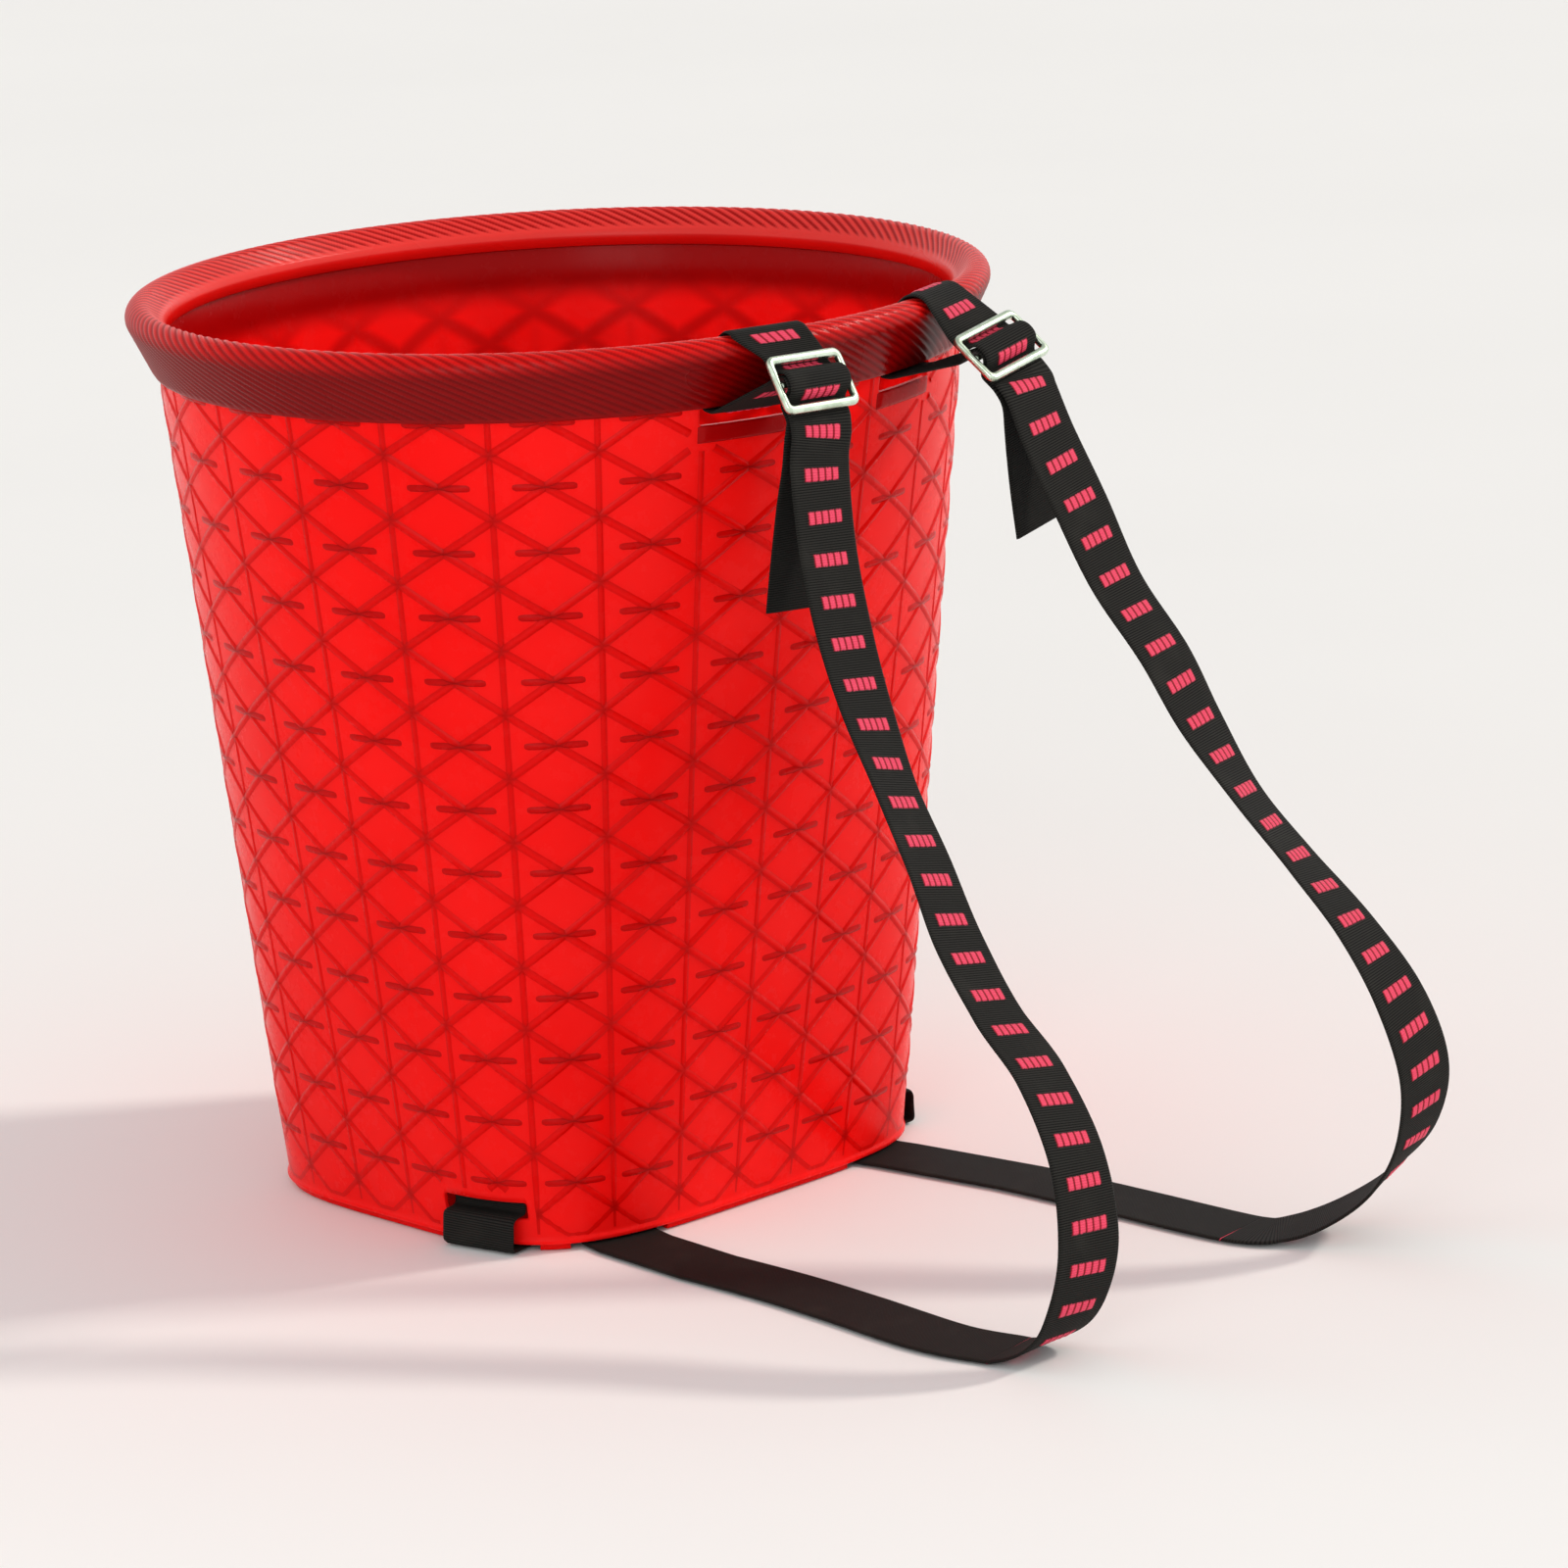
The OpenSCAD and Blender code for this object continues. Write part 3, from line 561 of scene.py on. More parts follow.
for s, side_name in SIDES:
    shares = np.linspace(-PAD_HALF_W, PAD_HALF_W, PAD_COLS) / MOUTH_ROUND
    q = np.abs(mouth_line[1] - rim_pt(s * SLOT_X, 0, 0)[:2]).sum(1).argmin()
    u = mouth_line[0][q] + shares
    rows = [(0.0, 366), (0.9, 366.8), (1.1, 367.6), (1.1, 372.4), (0.9, 373.3), (0.0, 374)]
    edge = np.clip((PAD_HALF_W - np.abs(shares) * MOUTH_ROUND) / PAD_EDGE, 0, 1)
    o = np.array([r[0] for r in rows])[:, None] * edge[None, :]
    pad_points = wall_pt(u[None, :], o - 0.1, np.array([r[1] for r in rows])[:, None])
    pad_piece = add_grid(f"{side_name}_slot_pad", pad_points)
    pad_piece.data.materials.append(tub_red)
    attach(pad_piece, "root")

# Rim band: a hollow channel moulded in the same plastic and clipped over the top of the wall. Fine slanted
# ridges like the turns of a rope cover its roll and its skirt.
ROLL_R, ROLL_OUT, ROLL_RISE, BAND_T, HEM_GAP = 6.5, 7.2, 24.5, 1.6, 1.0
RIDGES = 182
RIDGE_COLS = 5
RIDGE_LEAN = -1.75
SKIRT_L = 22.0
ROLL_L = 33.0
RIDGE_H = 0.7
LIP = (-WALL - 1, ROLL_RISE - 2)
LEG = -WALL - 0.2


def roll(radius, start, end, count):
    q = np.radians(np.linspace(start, end, count))
    return np.stack([ROLL_OUT + radius * np.cos(q), ROLL_RISE + radius * np.sin(q)], 1)


def resample(p, count):
    d = np.r_[0, np.cumsum(np.linalg.norm(np.diff(p, axis=0), axis=1))]
    return np.stack([np.interp(np.linspace(0, d[-1], count), d, p[:, k]) for k in range(p.shape[1])], 1)


def band_material():
    """Deep red plastic with painted light: painted shade on the skirt, a painted highlight along the top of the
    roll, and painted shade in the grooves between the ridges.
    """
    mat, tree = new_material("rim_band_polypropylene")
    coords = add(tree, "ShaderNodeTexCoord").outputs["Object"]
    cloud = noise(tree, coords, 14.0, 2.0)
    split = add(tree, "ShaderNodeSeparateXYZ", {0: add(tree, "ShaderNodeUVMap", uv_map="UVMap").outputs[0]})
    crest = ramp(tree, split.outputs[0], 0.1, 0.8)
    # Painted shade: the skirt is painted darker than the roll.
    shaded_skirt_to_roll = ramp(tree, split.outputs[1], SKIRT_L, ROLL_L)
    base = mix_colour(tree, shaded_skirt_to_roll, rgb("#7E0102"), rgb("#E01410"))
    base = mix_colour(tree, ramp(tree, cloud, 0.3, 0.7, (0.0, 0.25)), base, rgb("#A00304"))
    # Painted highlight: the top of the roll is painted palest.
    roll_top_highlight = ramp(tree, split.outputs[1], ROLL_L, ROLL_L + 6.0, (0.0, 0.7))
    base = mix_colour(tree, roll_top_highlight, base, rgb("#EE4640"))
    # Painted shade: the grooves between the ridges are painted darker than the crests.
    grooves = mix_colour(tree, shaded_skirt_to_roll, rgb("#6E0001"), rgb("#A20303"))
    colour = mix_colour(tree, crest, grooves, base)
    bump = add(tree, "ShaderNodeBump", {"Height": noise(tree, coords, 1600.0, 2.0), "Strength": 0.06,
                                        "Distance": 0.0002})
    shader = add(tree, "ShaderNodeBsdfPrincipled", {
        "Base Color": colour, "Roughness": ramp(tree, cloud, 0.3, 0.7, (0.26, 0.34)), "IOR": 1.49,
        "Specular IOR Level": 0.12, "Subsurface Weight": 0.15, "Subsurface Radius": (0.004, 0.0003, 0.0003),
        "Subsurface Scale": 1.0, "Normal": bump.outputs[0]})
    output(tree, shader.outputs[0])
    return mat


outer = resample(np.concatenate([[(HEM_GAP + BAND_T, 0.3)], roll(ROLL_R, -25, 118, 24),
                                 [(3.0, 29.2), (0.0, 26.0), LIP]]), 72)
inside = np.array([[LEG - BAND_T, LIP[1] - 3], [LEG - BAND_T, LIP[1] - 7.2], [LEG - 0.8, LIP[1] - 7.5],
                   [LEG, LIP[1] - 7.0], [LEG, 20.9]])
under = np.concatenate([roll(ROLL_R - BAND_T, 128, -25, 7), [[HEM_GAP, 0.3], [HEM_GAP + 0.5, 0.0],
                                                            [HEM_GAP + BAND_T - 0.5, 0.0]]])
section = np.concatenate([outer, inside, under])
BAND_COLS = RIDGES * RIDGE_COLS
turns = np.arange(BAND_COLS) / BAND_COLS
length_at = np.r_[0, np.cumsum(np.linalg.norm(np.diff(outer, axis=0), axis=1))]
weight = np.zeros(len(section))
weight[:len(outer)] = np.clip(np.minimum((length_at - 0.6) / 1.2, (length_at[-1] - length_at) / 3.5), 0, 1)
phase = np.zeros(len(section))
phase[:len(outer)] = length_at * RIDGE_LEAN * RIDGES / MOUTH_ROUND
section_n = np.gradient(section, axis=0)
section_n = np.stack([section_n[:, 1], -section_n[:, 0]], 1)
section_n /= np.linalg.norm(section_n, axis=1)[:, None]
ridge_phase = turns[:, None] * RIDGES - phase[None, :]
wave = 0.5 + 0.5 * np.cos(2 * np.pi * ridge_phase)
band_points = wall_pt(turns[:, None], section[None, :, 0], HEM_Z + section[None, :, 1])
band_moved = wall_pt(turns[:, None], section[None, :, 0] + section_n[None, :, 0], HEM_Z + section[None, :, 1])
band_outward = band_moved - band_points
band_outward[..., 2] = section_n[None, :, 1]
ridge_value = np.where(weight[None, :] > 0, 1 - (1 - wave) * weight[None, :], 1.0)
length_round = np.r_[length_at, np.full(len(section) - len(outer), ROLL_L)]


def ridge_uv(rows, cols):
    """How near the point is to a ridge's crest, and its length along the section from the hem."""
    value = ridge_value[rows % BAND_COLS, cols % len(section)]
    return np.stack([value, length_round[cols % len(section)]], -1)


band = add_grid("rim_band_ridged", band_points, loop_rows=True, loop_cols=True, uv_of=ridge_uv)
set_attribute(band, "outward", band_outward, "FLOAT_VECTOR")
set_attribute(band, "turns", ridge_phase)
set_attribute(band, "weight", np.broadcast_to(weight[None, :], ridge_phase.shape))
band_sizes = {"Ridge height": RIDGE_H / 1000}


def ridge_lift(tree, given):
    swell = maths(tree, "COSINE", maths(tree, "MULTIPLY", named(tree, "turns"), 2 * math.pi))
    swell = maths(tree, "POWER", maths(tree, "MULTIPLY_ADD", swell, 0.5, 0.5), 0.7)
    lift = maths(tree, "MULTIPLY", maths(tree, "SUBTRACT", swell, 0.6), given.outputs["Ridge height"])
    return maths(tree, "MULTIPLY", lift, named(tree, "weight"))


grown(band, raised_tree("rope_ridges", band_sizes, ridge_lift, band_material()), band_sizes)
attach(band, "root")
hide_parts("rim_band")

# Sliders: a cast rectangle in bright zinc with rounded bars, and a loose round bar across the middle that
# carries the webbing. The bar has flattened ends. It's a little slimmer than the webbing's way round it, so that
# the softened webbing stays clear.
SLIDER_AT = [np.array([-42.0, -201.0, HEM_Z + 11.5]), np.array([72.0, -204.0, HEM_Z + 9.5])]
SLIDER_TURN = [(58.5, 3, 2), (41.5, -8, 8)]
FRAME_W, FRAME_H, FRAME_T, FRAME_BAR, BAR_R = 45.0, 27.0, 3.4, 4.0, 1.8
SIDE_W = (FRAME_W - WEB_W - 1.4) / 2
BAR_SHOWN_R = BAR_R - 0.4
SIDES_ROUND = 16
ROUNDNESS = 0.7


def turned(i):
    x, y, z = (math.radians(v) for v in SLIDER_TURN[i])
    return np.array(Matrix.Rotation(z, 3, "Z") @ Matrix.Rotation(y, 3, "Y") @ Matrix.Rotation(x, 3, "X"))


def on_slider(i, down_, front):
    return SLIDER_AT[i] + turned(i) @ np.array([0, -down_, front])


def zinc_material():
    """Bright zinc plate: nearly smooth, slightly green, with small dull patches."""
    mat, tree = new_material("bright_zinc")
    coords = add(tree, "ShaderNodeTexCoord").outputs["Object"]
    cloud = noise(tree, coords, 160.0, 4.0, 0.6)
    colour = mix_colour(tree, ramp(tree, cloud, 0.35, 0.7), rgb("#DEECD8"), rgb("#B6C8B0"))
    bump = add(tree, "ShaderNodeBump", {"Height": noise(tree, coords, 900.0, 3.0), "Strength": 0.1,
                                        "Distance": 0.0002})
    shader = add(tree, "ShaderNodeBsdfPrincipled", {
        "Base Color": colour, "Metallic": 1.0, "Roughness": ramp(tree, cloud, 0.3, 0.75, (0.22, 0.38)),
        "Normal": bump.outputs[0]})
    output(tree, shader.outputs[0])
    return mat


zinc = zinc_material()


def rounded_rectangle(w, h, r, per_corner=8):
    points = []
    for k, (sx, sy) in enumerate(((1, 1), (-1, 1), (-1, -1), (1, -1))):
        q = np.radians(np.linspace(0, 90, per_corner) + 90 * k)
        points.append(np.stack([sx * (w / 2 - r) + r * np.cos(q), sy * (h / 2 - r) + r * np.sin(q)], 1))
    return np.concatenate(points)


for i, (_, side_name) in enumerate(SIDES):
    wide = rounded_rectangle(FRAME_W, FRAME_H, 4.0)
    narrow = rounded_rectangle(FRAME_W - 2 * SIDE_W, FRAME_H - 2 * FRAME_BAR, 1.4)
    q = np.linspace(0, 2 * np.pi, SIDES_ROUND, endpoint=False)
    across, through = (np.sign(v) * np.abs(v) ** ROUNDNESS for v in (np.cos(q), np.sin(q)))
    flat = (wide + narrow)[:, None] / 2 + (wide - narrow)[:, None] / 2 * across[None, :, None]
    local = np.concatenate([flat, np.broadcast_to(through * FRAME_T / 2, flat.shape[:2])[..., None]], -1)
    piece = add_grid(f"{side_name}_slider_frame_cast", SLIDER_AT[i] + local @ turned(i).T, True, True)
    piece.data.materials.append(zinc)
    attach(piece, f"{side_name}_slider")
    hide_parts(f"{side_name}_slider_frame")
    ends = np.array([-21.0, -20.9, -19.6, -19.4, -19.0, 19.0, 19.4, 19.6, 20.9, 21.0])
    radii = np.array([[0.3, 0.3], [1.3, 0.7], [1.4, 0.7], [1.35, 1.35], [BAR_SHOWN_R, BAR_SHOWN_R]])
    radii = np.concatenate([radii, radii[::-1]])
    local = np.stack([np.broadcast_to(ends[:, None], (len(ends), SIDES_ROUND)), radii[:, :1] * np.cos(q),
                      radii[:, 1:] * np.sin(q)], -1)
    piece = add_grid(f"{side_name}_slider_bar_round", SLIDER_AT[i] + local @ turned(i).T, loop_cols=True,
                     caps=True, flip=True)
    piece.data.materials.append(zinc)
    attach(piece, f"{side_name}_bar")
    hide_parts(f"{side_name}_slider_bar")

# Straps: each is one length of black polyester webbing with fine ribs across it and a row of raised red dashes.
# From its tail it goes through the slider, in by the slot under the band, up inside, over the rim, through the
# slider again, down in front to the ground, under the base and in by the flank slot to a sewn stop.
WEB_T = 1.6
DASH_PITCH = 18.3
DASH_W = 22.0
DASH_L = 5.4
LUMPS = 5
BACK_U = 100.0
RIB_PITCH = 1.1


def webbing_material():
    """Black woven polyester with fine ribs across it, a little dusty, and red dashes of loose glossy yarn, with
    painted shade between their lumps and a painted highlight on each lump.
    """
    mat, tree = new_material("polyester_webbing")
    uv = add(tree, "ShaderNodeUVMap", uv_map="UVMap").outputs[0]
    coords = add(tree, "ShaderNodeTexCoord").outputs["Object"]
    split = add(tree, "ShaderNodeSeparateXYZ", {0: uv})
    u, v = split.outputs[0], split.outputs[1]
    fray = maths(tree, "MULTIPLY", maths(tree, "SUBTRACT", noise(tree, uv, 1.3, 2.0), 0.5), 1.2)
    along = maths(tree, "ADD", maths(tree, "PINGPONG", v, DASH_PITCH / 2), fray)
    beside = maths(tree, "ADD", maths(tree, "ABSOLUTE", u), fray)
    dash = maths(tree, "MULTIPLY", ramp(tree, along, DASH_L / 2 - 0.35, DASH_L / 2 + 0.35, (1.0, 0.0)),
                 ramp(tree, beside, DASH_W / 2 - 0.3, DASH_W / 2 + 0.3, (1.0, 0.0)))
    lump = ramp(tree, maths(tree, "PINGPONG", maths(tree, "ADD", u, DASH_W / 2), DASH_W / LUMPS / 2), 0.0, 1.0)
    ribs = ramp(tree, maths(tree, "PINGPONG", v, RIB_PITCH / 2), 0.0, RIB_PITCH * 0.4)
    weave = maths(tree, "ADD", ribs, maths(tree, "MULTIPLY", maths(tree, "PINGPONG", u, 0.5), 0.4))
    dust = ramp(tree, noise(tree, coords, 45.0, 4.0), 0.5, 0.8, (0.0, 0.2))
    cloth = mix_colour(tree, ramp(tree, weave, 0.1, 1.1), rgb("#020202"), rgb("#262522"))
    cloth = mix_colour(tree, dust, cloth, rgb("#3A3833"))
    # Painted shade between the lumps of the dash yarn, and a painted highlight on each lump.
    yarn = mix_colour(tree, lump, rgb("#6E0A18"), rgb("#DC2C46"))
    yarn = mix_colour(tree, ramp(tree, lump, 0.7, 1.0, (0.0, 0.5)), yarn, rgb("#F0587A"))
    colour = mix_colour(tree, dash, cloth, yarn)
    fuzz = noise(tree, coords, 2600.0, 2.0)
    height = maths(tree, "ADD", maths(tree, "MULTIPLY", weave, 0.7), maths(tree, "MULTIPLY", fuzz, 0.25))
    bump = add(tree, "ShaderNodeBump", {"Height": height, "Strength": 0.8, "Distance": 0.0003})
    shader = add(tree, "ShaderNodeBsdfPrincipled", {
        "Base Color": colour, "Roughness": ramp(tree, dash, 0.0, 1.0, (0.75, 0.5)), "Specular IOR Level": 0.12,
        "Normal": bump.outputs[0]})
    output(tree, shader.outputs[0])
    return mat


webbing = webbing_material()


def unit(v):
    v = np.asarray(v, float)
    return v / np.linalg.norm(v, axis=-1, keepdims=True)


def edges_of(centre, width_dir, held=0.0):
    """Left edge, right edge and face normal of a strap along a centreline. Held, it runs askew to its width."""
    t = unit(np.gradient(centre, axis=0))
    w = width_dir - t * ((width_dir * t).sum(1) * (1 - held))[:, None]
    w = unit(w)
    return centre - w * WEB_W / 2, centre + w * WEB_W / 2, unit(np.cross(w, t))


def dense(line, columns, soften):
    """The columns at stations every mm along a line, softened so many times."""
    d = np.r_[0, np.cumsum(np.maximum(np.linalg.norm(np.diff(line, axis=0), axis=1), 0.05))]
    at = np.linspace(0, d[-1], int(d[-1]) + 2)
    out = [np.stack([np.interp(at, d, c[:, k]) for k in range(c.shape[1])], 1) for c in columns]
    for _ in range(soften):
        for c in out:
            c[1:-1] = (c[:-2] + 2 * c[1:-1] + c[2:]) / 4
    return out


def strap_piece(name, left, right_, normal, v_start):
    """A closed strip with soft edges; one face carries the raised dashes."""
    across = np.linspace(0, 1, 27)
    u = (across - 0.5) * WEB_W
    centre = (left + right_) / 2
    v = v_start + np.r_[0, np.cumsum(np.linalg.norm(np.diff(centre, axis=0), axis=1))]
    ping = np.abs((v + DASH_PITCH / 2) % DASH_PITCH - DASH_PITCH / 2)
    along_dash = np.clip((DASH_L / 2 + 0.3 - ping) / 0.9, 0, 1)
    on_dash = along_dash[:, None] * np.clip(DASH_W / 2 + 0.4 - np.abs(u), 0, 1)
    lump = np.abs(np.sin(np.pi * (u + DASH_W / 2) * LUMPS / DASH_W)) ** 0.6
    raised = on_dash * (0.05 + 0.5 * lump)
    half = WEB_T / 2
    edge = half * np.sqrt(np.clip(1 - ((np.abs(u) - (WEB_W / 2 - half)) / half).clip(0, 1) ** 2, 0.02, 1))
    top = (edge[None, :] - 0.12) + raised
    low = -(edge - 0.06)[None, :] + np.zeros_like(raised)
    line = left[:, None] + (right_ - left)[:, None] * across[None, :, None]
    ring = np.concatenate([line + normal[:, None] * top[..., None],
                           (line + normal[:, None] * low[..., None])[:, ::-1]], 1)
    u_ring = np.r_[u, (BACK_U + u)[::-1], u[0]]

    def uv_of(rows, cols):
        return np.stack([u_ring[cols], v[np.minimum(rows, len(v) - 1)]], -1)

    piece = add_grid(name, ring, loop_cols=True, uv_of=uv_of, caps=True)
    piece.data.materials.append(webbing)
    return piece


# Ways of the webbing in mm. Round the slider: how far down it and in front of it. Over the rim: outwards, up
# from the hem, and the share of the way across to the slot. In front: the share of the way down, outwards,
# sideways, and the turn of its width in degrees. The tail's way starts where it leaves the slider.
SLACK = 0.3
THIN = WEB_T + SLACK
BEHIND = FRAME_T / 2 + 1.25 + WEB_T / 2
OVER = BAR_R + SLACK + WEB_T / 2
CUT = FRAME_H / 2 + 1
UPPER_HALF = [(1.8, OVER + THIN), (4.7, OVER + 0.6), (6.1, 0), (7.3, 0.8 - BEHIND), (9, -BEHIND)]
UNDER_HALF = [(1.4, OVER), (3.2, OVER - 0.8), (4.3, -0.6), (5.6, 1 - BEHIND - THIN), (6.7, -BEHIND - THIN)]
UPPER_PATH = [(CUT, -BEHIND)] + UPPER_HALF[::-1] + [(-a, b) for a, b in UPPER_HALF] + [(-CUT, -BEHIND)]
UNDER_PATH = ([(-4.8, -8.5), (-4.7, -2.4), (-4.3, -0.6), (-3.2, OVER - 0.8), (-1.4, OVER)] + UNDER_HALF
              + [(CUT, -BEHIND - THIN)])
ROLL_WAY = ROLL_R + SLACK + 0.9 + WEB_T / 2
RIM_WAY = ([(ROLL_OUT + ROLL_WAY * math.cos(math.radians(q)),
             ROLL_RISE + ROLL_WAY * math.sin(math.radians(q)), 0) for q in (48, 70, 92, 114, 136)]
           + [(-6.3, 22, 0.25), (-6.3, 8, 0.8), (-5.8, 2, 1), (-4.2, -1.2, 1), (-1.5, -2, 1), (2.5, -2, 1),
              (4.5, -1.4, 1)])
CROSS_X = (-44.0, 61.0)
ROUTE = [
    [(0, 0, 0, -2), (0.02, 3, 0, -3), (0.06, 7, -1, -4), (0.15, 20, 0, -6), (0.24, 38, 1, -8), (0.32, 58, 2, -13),
     (0.4, 83, 2, -21), (0.48, 110, 3, -19), (0.56, 136, 3, -16), (0.63, 164, 4, -18), (0.69, 195, 5, -15),
     (0.77, 223, 5, -8), (0.86, 238, 6, -1), (0.93, 239, 6, 0), (0.975, 231, 6, -3), (1, 211, 2, -8),
     (1, 177, -4, -2), (1, 119, 0, 2), (1, 76, 2, 2), (1, 30, 1, -4), (1, 0, 0, -12)],
    [(0, 0, 0, -8), (0.02, 8, 0, -8), (0.07, 19, 2, -6), (0.15, 38, 7, -5), (0.24, 60, 12, -8), (0.32, 88, 17, -9),
     (0.4, 110, 22, -14), (0.48, 137, 27, -26), (0.55, 166, 33, -26), (0.62, 198, 37, -18), (0.7, 224, 42, -8),
     (0.79, 239, 48, -6), (0.87, 238, 50, -12), (0.93, 228, 44, -26), (0.97, 214, 34, -34), (0.994, 198, 22, -36),
     (1, 178, 12, -20), (1, 109, 9, -4), (1, 49, 6, 4), (1, 0, 0, 12)],
]
TAIL_WAY = [
    [(-1, 1, -8), (-2, 2, -20), (-3, 5, -36), (-4, 8, -56), (-5, 10, -72), (-6, 11, -84)],
    [(2, -3, -7), (3, -3, -17), (5, -2, -30), (8, -1, -48), (11, -1, -68)],
]
GROUND_STATION = (15, 16)
STEPS_PER_STATION = 12
FOLD_IN = 6.4
TWIST_STEPS = 18
HINGE = {s: np.array([s * 88.0, -131.0, SLACK + WEB_T / 2]) for s in (-1, 1)}
HINGE_DIR = {s: unit([-s * STRAP_DIR[0], STRAP_DIR[1]]) for s in (-1, 1)}


def catmull(p):
    """A smooth curve through the points."""
    p = np.asarray(p, float)
    n = len(p) - 1
    out = []
    for k in range(n):
        a, b, c, d = p[max(k - 1, 0)], p[k], p[k + 1], p[min(k + 2, n)]
        f = (np.arange(STEPS_PER_STATION) / STEPS_PER_STATION)[:, None]
        bend = (2 * a - 5 * b + 4 * c - d) * f ** 2
        out.append((2 * b + (c - a) * f + bend + (3 * b - a - 3 * c + d) * f ** 3) / 2)
    return np.concatenate(out + [p[n:]])


def way_x(i, f):
    return CROSS_X[i] * (1 - f) + math.copysign(SLOT_X, CROSS_X[i]) * f


def way_pt(i, p):
    return rim_pt(way_x(i, p[2]), p[0], HEM_Z + p[1])


def way_w(i, p):
    n = rim_n(way_x(i, p[2]))
    return np.array([n[1], -n[0], 0.0])


def flat3(v, z):
    return np.array([v[0], v[1], z])


def base_stations():
    """Edges and normals of the left strap's run under the base: in from the front, one diagonal fold, out under
    the flank, up, in through the slot and folded back on itself inside."""
    d, e = HINGE_DIR[-1], flank_dir(-1)
    r = np.array([d[1], -d[0]])
    m = flank_pt(-1, 0, FOOT)[:2]
    p = HINGE[-1][:2]
    low_z = SLACK + WEB_T / 2
    high_z = low_z + THIN + 0.3

    def cross2(a, b):
        return a[0] * b[1] - a[1] * b[0]

    x = p + d * (cross2(m - p, e) / cross2(d, e))
    f = unit(d + e)
    h = WEB_W / 2 / abs(cross2(f, d))
    away = unit(d - f * (d @ f))
    half_w = flat3(r, 0) * WEB_W / 2
    rows = []
    for at, z in ((0, low_z), (WEB_W / 2 + SLACK, low_z), (31, low_z), (43, high_z)):
        c = flat3(p + d * at, z)
        rows.append((c - half_w, c + half_w, np.array([0, 0, 1.0])))
    for q in np.radians(np.arange(90, -91, -15)):
        radius = (high_z - low_z) / 2
        o = flat3(away, 0) * math.cos(q) * radius
        z = (high_z + low_z) / 2 + math.sin(q) * radius
        rows.append((flat3(x + f * h, z) + o, flat3(x - f * h, z) + o, flat3(away * math.cos(q), math.sin(q))))
    way = [(-12, low_z), (4, low_z), (5.3, low_z + 0.6), (6, low_z + 2), (4.6, FLANK_LOW - 4),
           (4.2, FLANK_LOW - 0.4), (3.2, FLANK_LOW + 0.8), (1.6, FLANK_LOW + 1.4),
           (-WALL - 2.8, FLANK_LOW + 1.4),
           (-WALL - 4, FLANK_LOW + 2.2), (-WALL - 4.4, FLANK_LOW + 4), (-WALL - 4.4, FLANK_LOW + 30),
           (-WALL - 5.4, FLANK_LOW + 31), (-WALL - FOLD_IN, FLANK_LOW + 30), (-WALL - FOLD_IN, FLANK_LOW + 12)]
    c = np.array([flank_pt(-1, a, b) for a, b in way])
    left, right_, n = edges_of(c, np.broadcast_to(flat3((-e[1], e[0]), 0), c.shape))
    rows += list(zip(left, right_, n))
    return [np.array(v) for v in zip(*rows)]


for i, (s, side_name) in enumerate(SIDES):
    bar = turned(i) @ np.array([1.0, 0, 0])
    top = on_slider(i, CUT, -BEHIND)
    foot = HINGE[s]
    tail_top = on_slider(i, CUT, -BEHIND - THIN)
    tail = catmull(np.array([tail_top] + [tail_top + np.array(v, float) for v in TAIL_WAY[i]]))
    route = catmull(ROUTE[i])
    share_down = np.minimum(route[:, 0], 1)[:, None]
    run = top + (foot - top) * share_down + np.stack([route[:, 2], -route[:, 1], np.zeros(len(route))], 1)
    yaw = np.radians(route[:, 3])
    run_w = np.stack([-np.cos(yaw), np.sin(yaw), np.zeros(len(route))], 1)
    eased = np.clip(np.arange(len(route)) / TWIST_STEPS, 0, 1)[:, None]
    run_w = -bar * (1 - eased) + run_w * eased
    ground = STEPS_PER_STATION * GROUND_STATION[i]
    loop = ([on_slider(i, *p) for p in UPPER_PATH] + [way_pt(i, p) for p in RIM_WAY]
            + [on_slider(i, *p) for p in UNDER_PATH])
    loop_w = [-bar] * len(UPPER_PATH) + [way_w(i, p) for p in RIM_WAY] + [-bar] * len(UNDER_PATH)
    centre = np.concatenate([tail[:0:-1], np.array(loop)[::-1], run[1:ground + 1]])
    width = np.concatenate([[-bar] * (len(tail) - 1), np.array(loop_w)[::-1], run_w[1:ground + 1]])
    held = np.zeros((len(centre), 1))
    held[len(tail) - 1:len(tail) - 1 + len(loop)] = 1
    centre, width, held = dense(centre, [centre, width, held], 3)
    upper = strap_piece(f"{side_name}_strap_upper", *edges_of(centre, width, held[:, 0]), 0.0)
    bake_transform(upper)
    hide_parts(f"{side_name}_rim_loop", f"{side_name}_shoulder_strap", f"{side_name}_tail")
    v_end = float(np.linalg.norm(np.diff(centre, axis=0), axis=1).sum())

    left, right_, n = edges_of(run, run_w)
    under_left, under_right, under_n = base_stations()
    if s == 1:
        flip = np.array([-1.0, 1, 1])
        under_left, under_right, under_n = under_right * flip, under_left * flip, under_n * flip
    cut = slice(ground, len(run) - STEPS_PER_STATION)
    columns = [np.concatenate([a, b]) for a, b in ((left[cut], under_right[1:]), (right_[cut], under_left[1:]),
                                                   (n[cut], -under_n[1:]))]
    left, right_, n = dense((columns[0] + columns[1]) / 2, columns, 2)
    lower = strap_piece(f"{side_name}_strap_lower", left, right_, unit(n), v_end)
    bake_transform(lower)
    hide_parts(f"{side_name}_base_run")

# Stop stitches: four zigzag rows of black polyester thread across the folded end of each strap, inside the tub.
TACK_R = 0.4
STITCH_L = 2.4
TACK_STEP = 1.0
TACK_SWING = 0.8
TACK_HALF_W = 14
TACK_ROWS = (16, 20, 24, 28)


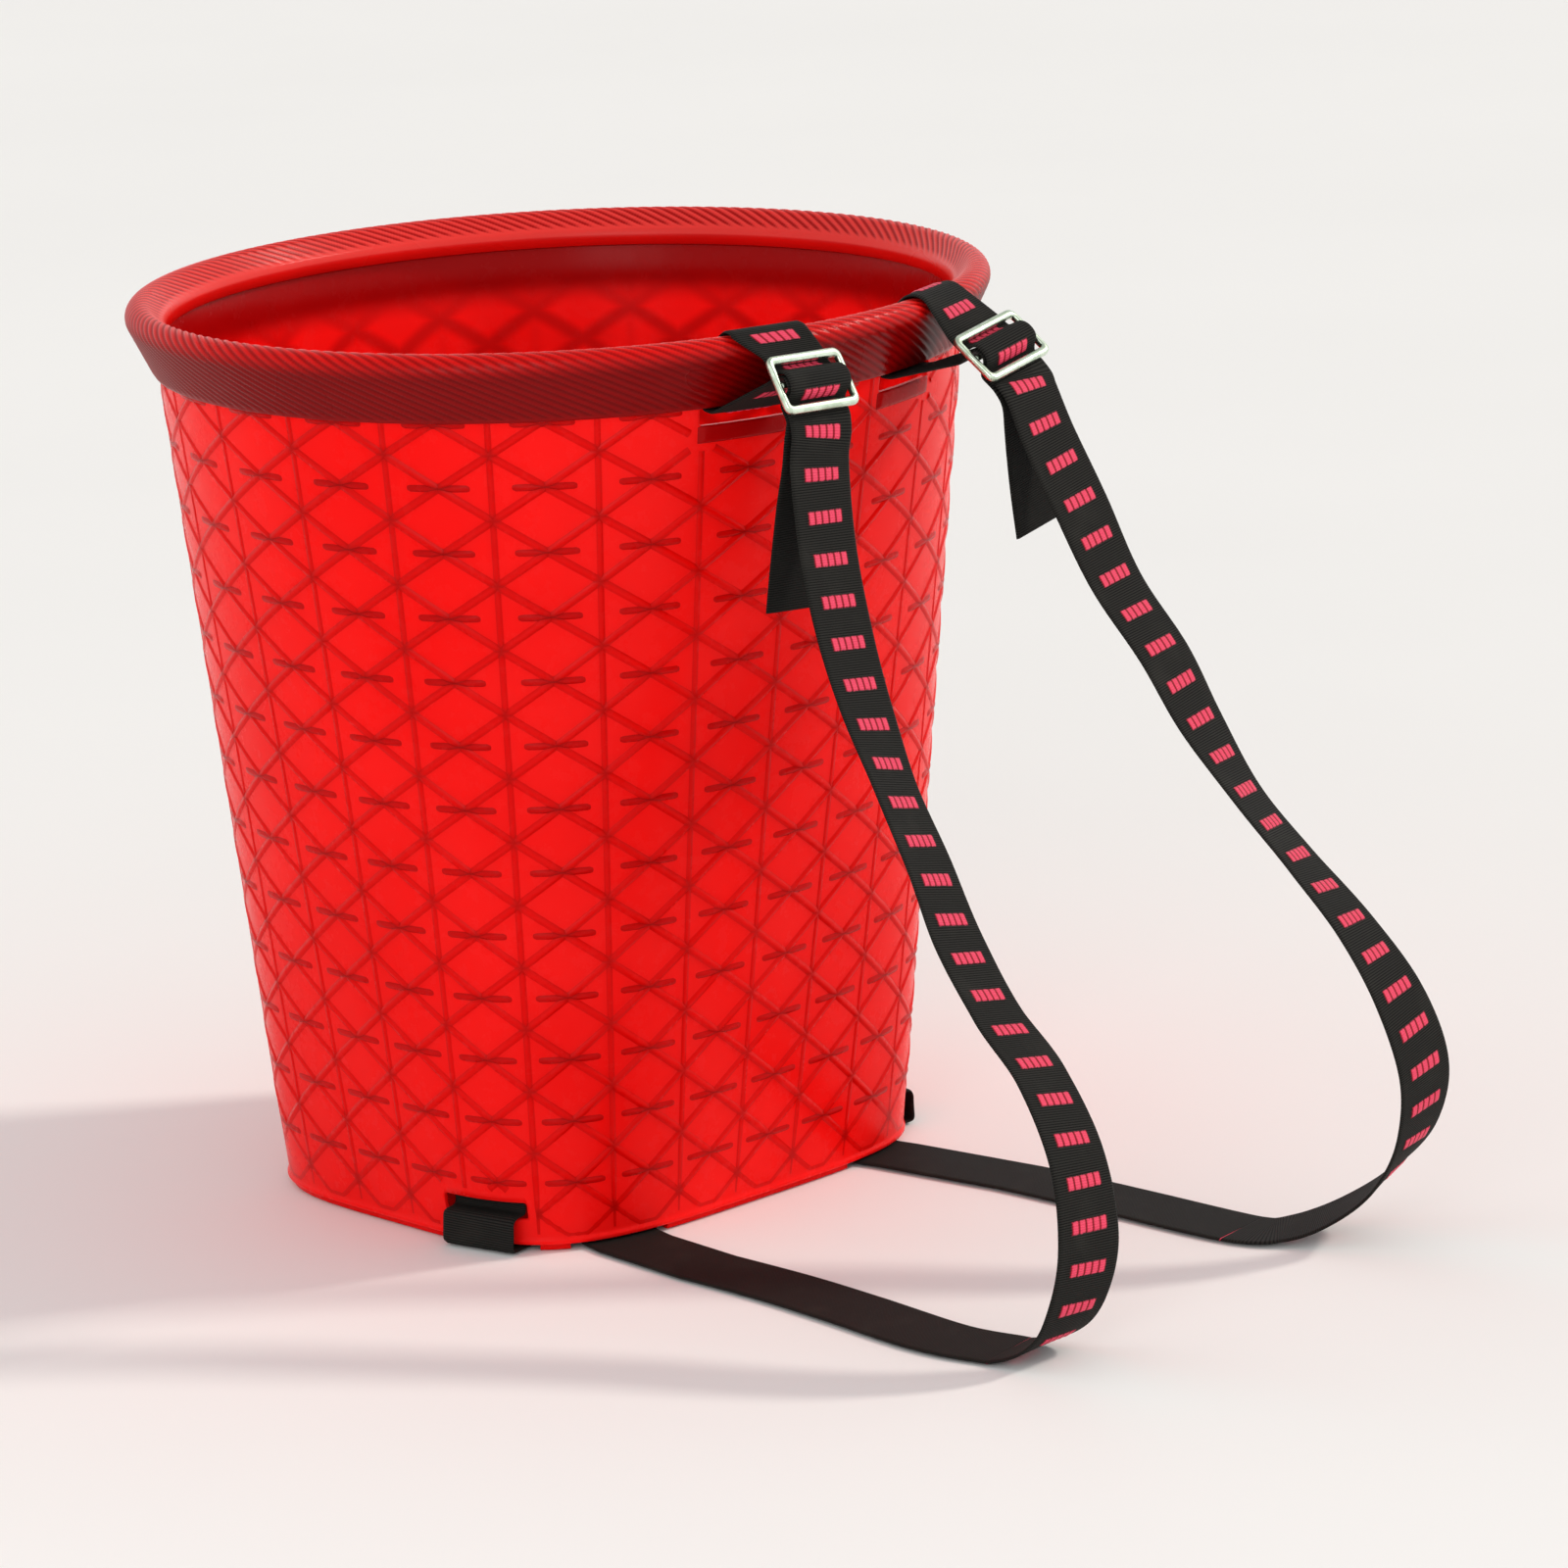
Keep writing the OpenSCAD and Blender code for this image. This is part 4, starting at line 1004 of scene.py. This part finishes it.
def thread_material():
    """Twisted black thread."""
    mat, tree = new_material("polyester_thread")
    coords = add(tree, "ShaderNodeTexCoord").outputs["Object"]
    twist = add(tree, "ShaderNodeTexWave", {"Vector": coords, "Scale": 900.0, "Distortion": 1.0}).outputs["Fac"]
    bump = add(tree, "ShaderNodeBump", {"Height": twist, "Strength": 0.4, "Distance": 0.0001})
    output(tree, add(tree, "ShaderNodeBsdfPrincipled", {
        "Base Color": mix_colour(tree, twist, rgb("#141312"), rgb("#3A3735")), "Roughness": 0.6,
        "Normal": bump.outputs[0]}).outputs[0])
    return mat


def stitch_tree(sizes, mat):
    """A tree that puts one straight stitch at each point, along the point's own direction."""
    tree, given = size_tree("stitches", sizes)
    one = add(tree, "GeometryNodeMeshCylinder", {
        "Vertices": 8, "Radius": given.outputs["Thread radius"],
        "Depth": given.outputs["Stitch length"]}).outputs[0]
    rotation = add(tree, "FunctionNodeAlignRotationToVector", {"Vector": named(tree, "along", "FLOAT_VECTOR")},
                   axis="Z").outputs[0]
    rows = add(tree, "GeometryNodeInstanceOnPoints", {"Points": given.outputs[0], "Instance": one,
                                                      "Rotation": rotation}).outputs[0]
    finish_tree(tree, rows, mat)
    return tree


stitch_sizes = {"Thread radius": TACK_R / 1000, "Stitch length": STITCH_L / 1000}
stitches = stitch_tree(stitch_sizes, thread_material())
for s, side_name in SIDES:
    e = flank_dir(s)
    places, directions = [], []
    for row in TACK_ROWS:
        centre = flank_pt(s, -WALL - FOLD_IN - WEB_T / 2 - TACK_R, FLANK_LOW + row)
        for k, step in enumerate(np.arange(-TACK_HALF_W, TACK_HALF_W + 0.1, TACK_STEP)):
            lean = TACK_SWING if k % 2 else -TACK_SWING
            places.append(centre + step * np.array([-e[1], e[0], 0]))
            directions.append([-e[1] * TACK_STEP, e[0] * TACK_STEP, 2 * lean])
    tacks = add_object(f"{side_name}_bar_tacks", places, [])
    set_attribute(tacks, "along", directions, "FLOAT_VECTOR")
    grown(tacks, stitches, stitch_sizes)
    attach(tacks, "root")
    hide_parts(f"{side_name}_stop_stitches")

# Stage: a pale floor under soft light, with a white backdrop for the camera alone. The key comes high from the
# strap side. The sky is dimmer overhead than at the horizon, so that the inside of the tub stays deep.
floor_mat, tree = new_material("floor")
coords = add(tree, "ShaderNodeTexCoord").outputs["Object"]
output(tree, add(tree, "ShaderNodeBsdfPrincipled", {
    "Base Color": mix_colour(tree, noise(tree, coords, 2.0), rgb("#F3F3F2"), rgb("#EFEFEE")),
    "Roughness": 0.9, "Specular IOR Level": 0.1}).outputs[0])
bpy.ops.mesh.primitive_plane_add(size=30.0, location=(0, 0, -0.0004))
floor = bpy.context.object
floor.name = "floor"
floor.data.materials.append(floor_mat)

world = bpy.data.worlds.new("studio")
world.use_nodes = True
world.node_tree.nodes.clear()
tree = world.node_tree
upward = add(tree, "ShaderNodeTexCoord").outputs["Generated"]
height = add(tree, "ShaderNodeSeparateXYZ", {0: upward}).outputs[2]
seen = add(tree, "ShaderNodeLightPath").outputs["Is Camera Ray"]
level = ramp(tree, height, 0.1, 0.9, (1.15, 0.55))
level = maths(tree, "ADD", maths(tree, "MULTIPLY", level, maths(tree, "SUBTRACT", 1.0, seen)), seen)
sky = add(tree, "ShaderNodeBackground", {"Color": rgb("#FFFFFF"), "Strength": level}).outputs[0]
add(tree, "ShaderNodeOutputWorld", {"Surface": sky})
bpy.context.scene.world = world


def lamp(name, kind, at, energy, colour="#FFFFFF", **settings):
    """A lamp that looks at the middle of the tub."""
    data = bpy.data.lights.new(name, kind)
    data.energy, data.color = energy, rgb(colour)[:3]
    for key, value in settings.items():
        setattr(data, key, value)
    item = bpy.data.objects.new(name, data)
    item.location = at
    item.rotation_euler = (Vector((0, 0, 0.25)) - Vector(at)).to_track_quat("-Z", "Y").to_euler()
    bpy.context.scene.collection.objects.link(item)


lamp("key", "SUN", (1.9, -1.2, 2.2), 1.3, "#FFF6EC", angle=math.radians(6))
lamp("fill", "AREA", (-2.2, -1.6, 1.3), 12, size=1.2)

bpy.context.scene.view_settings.view_transform = "Standard"
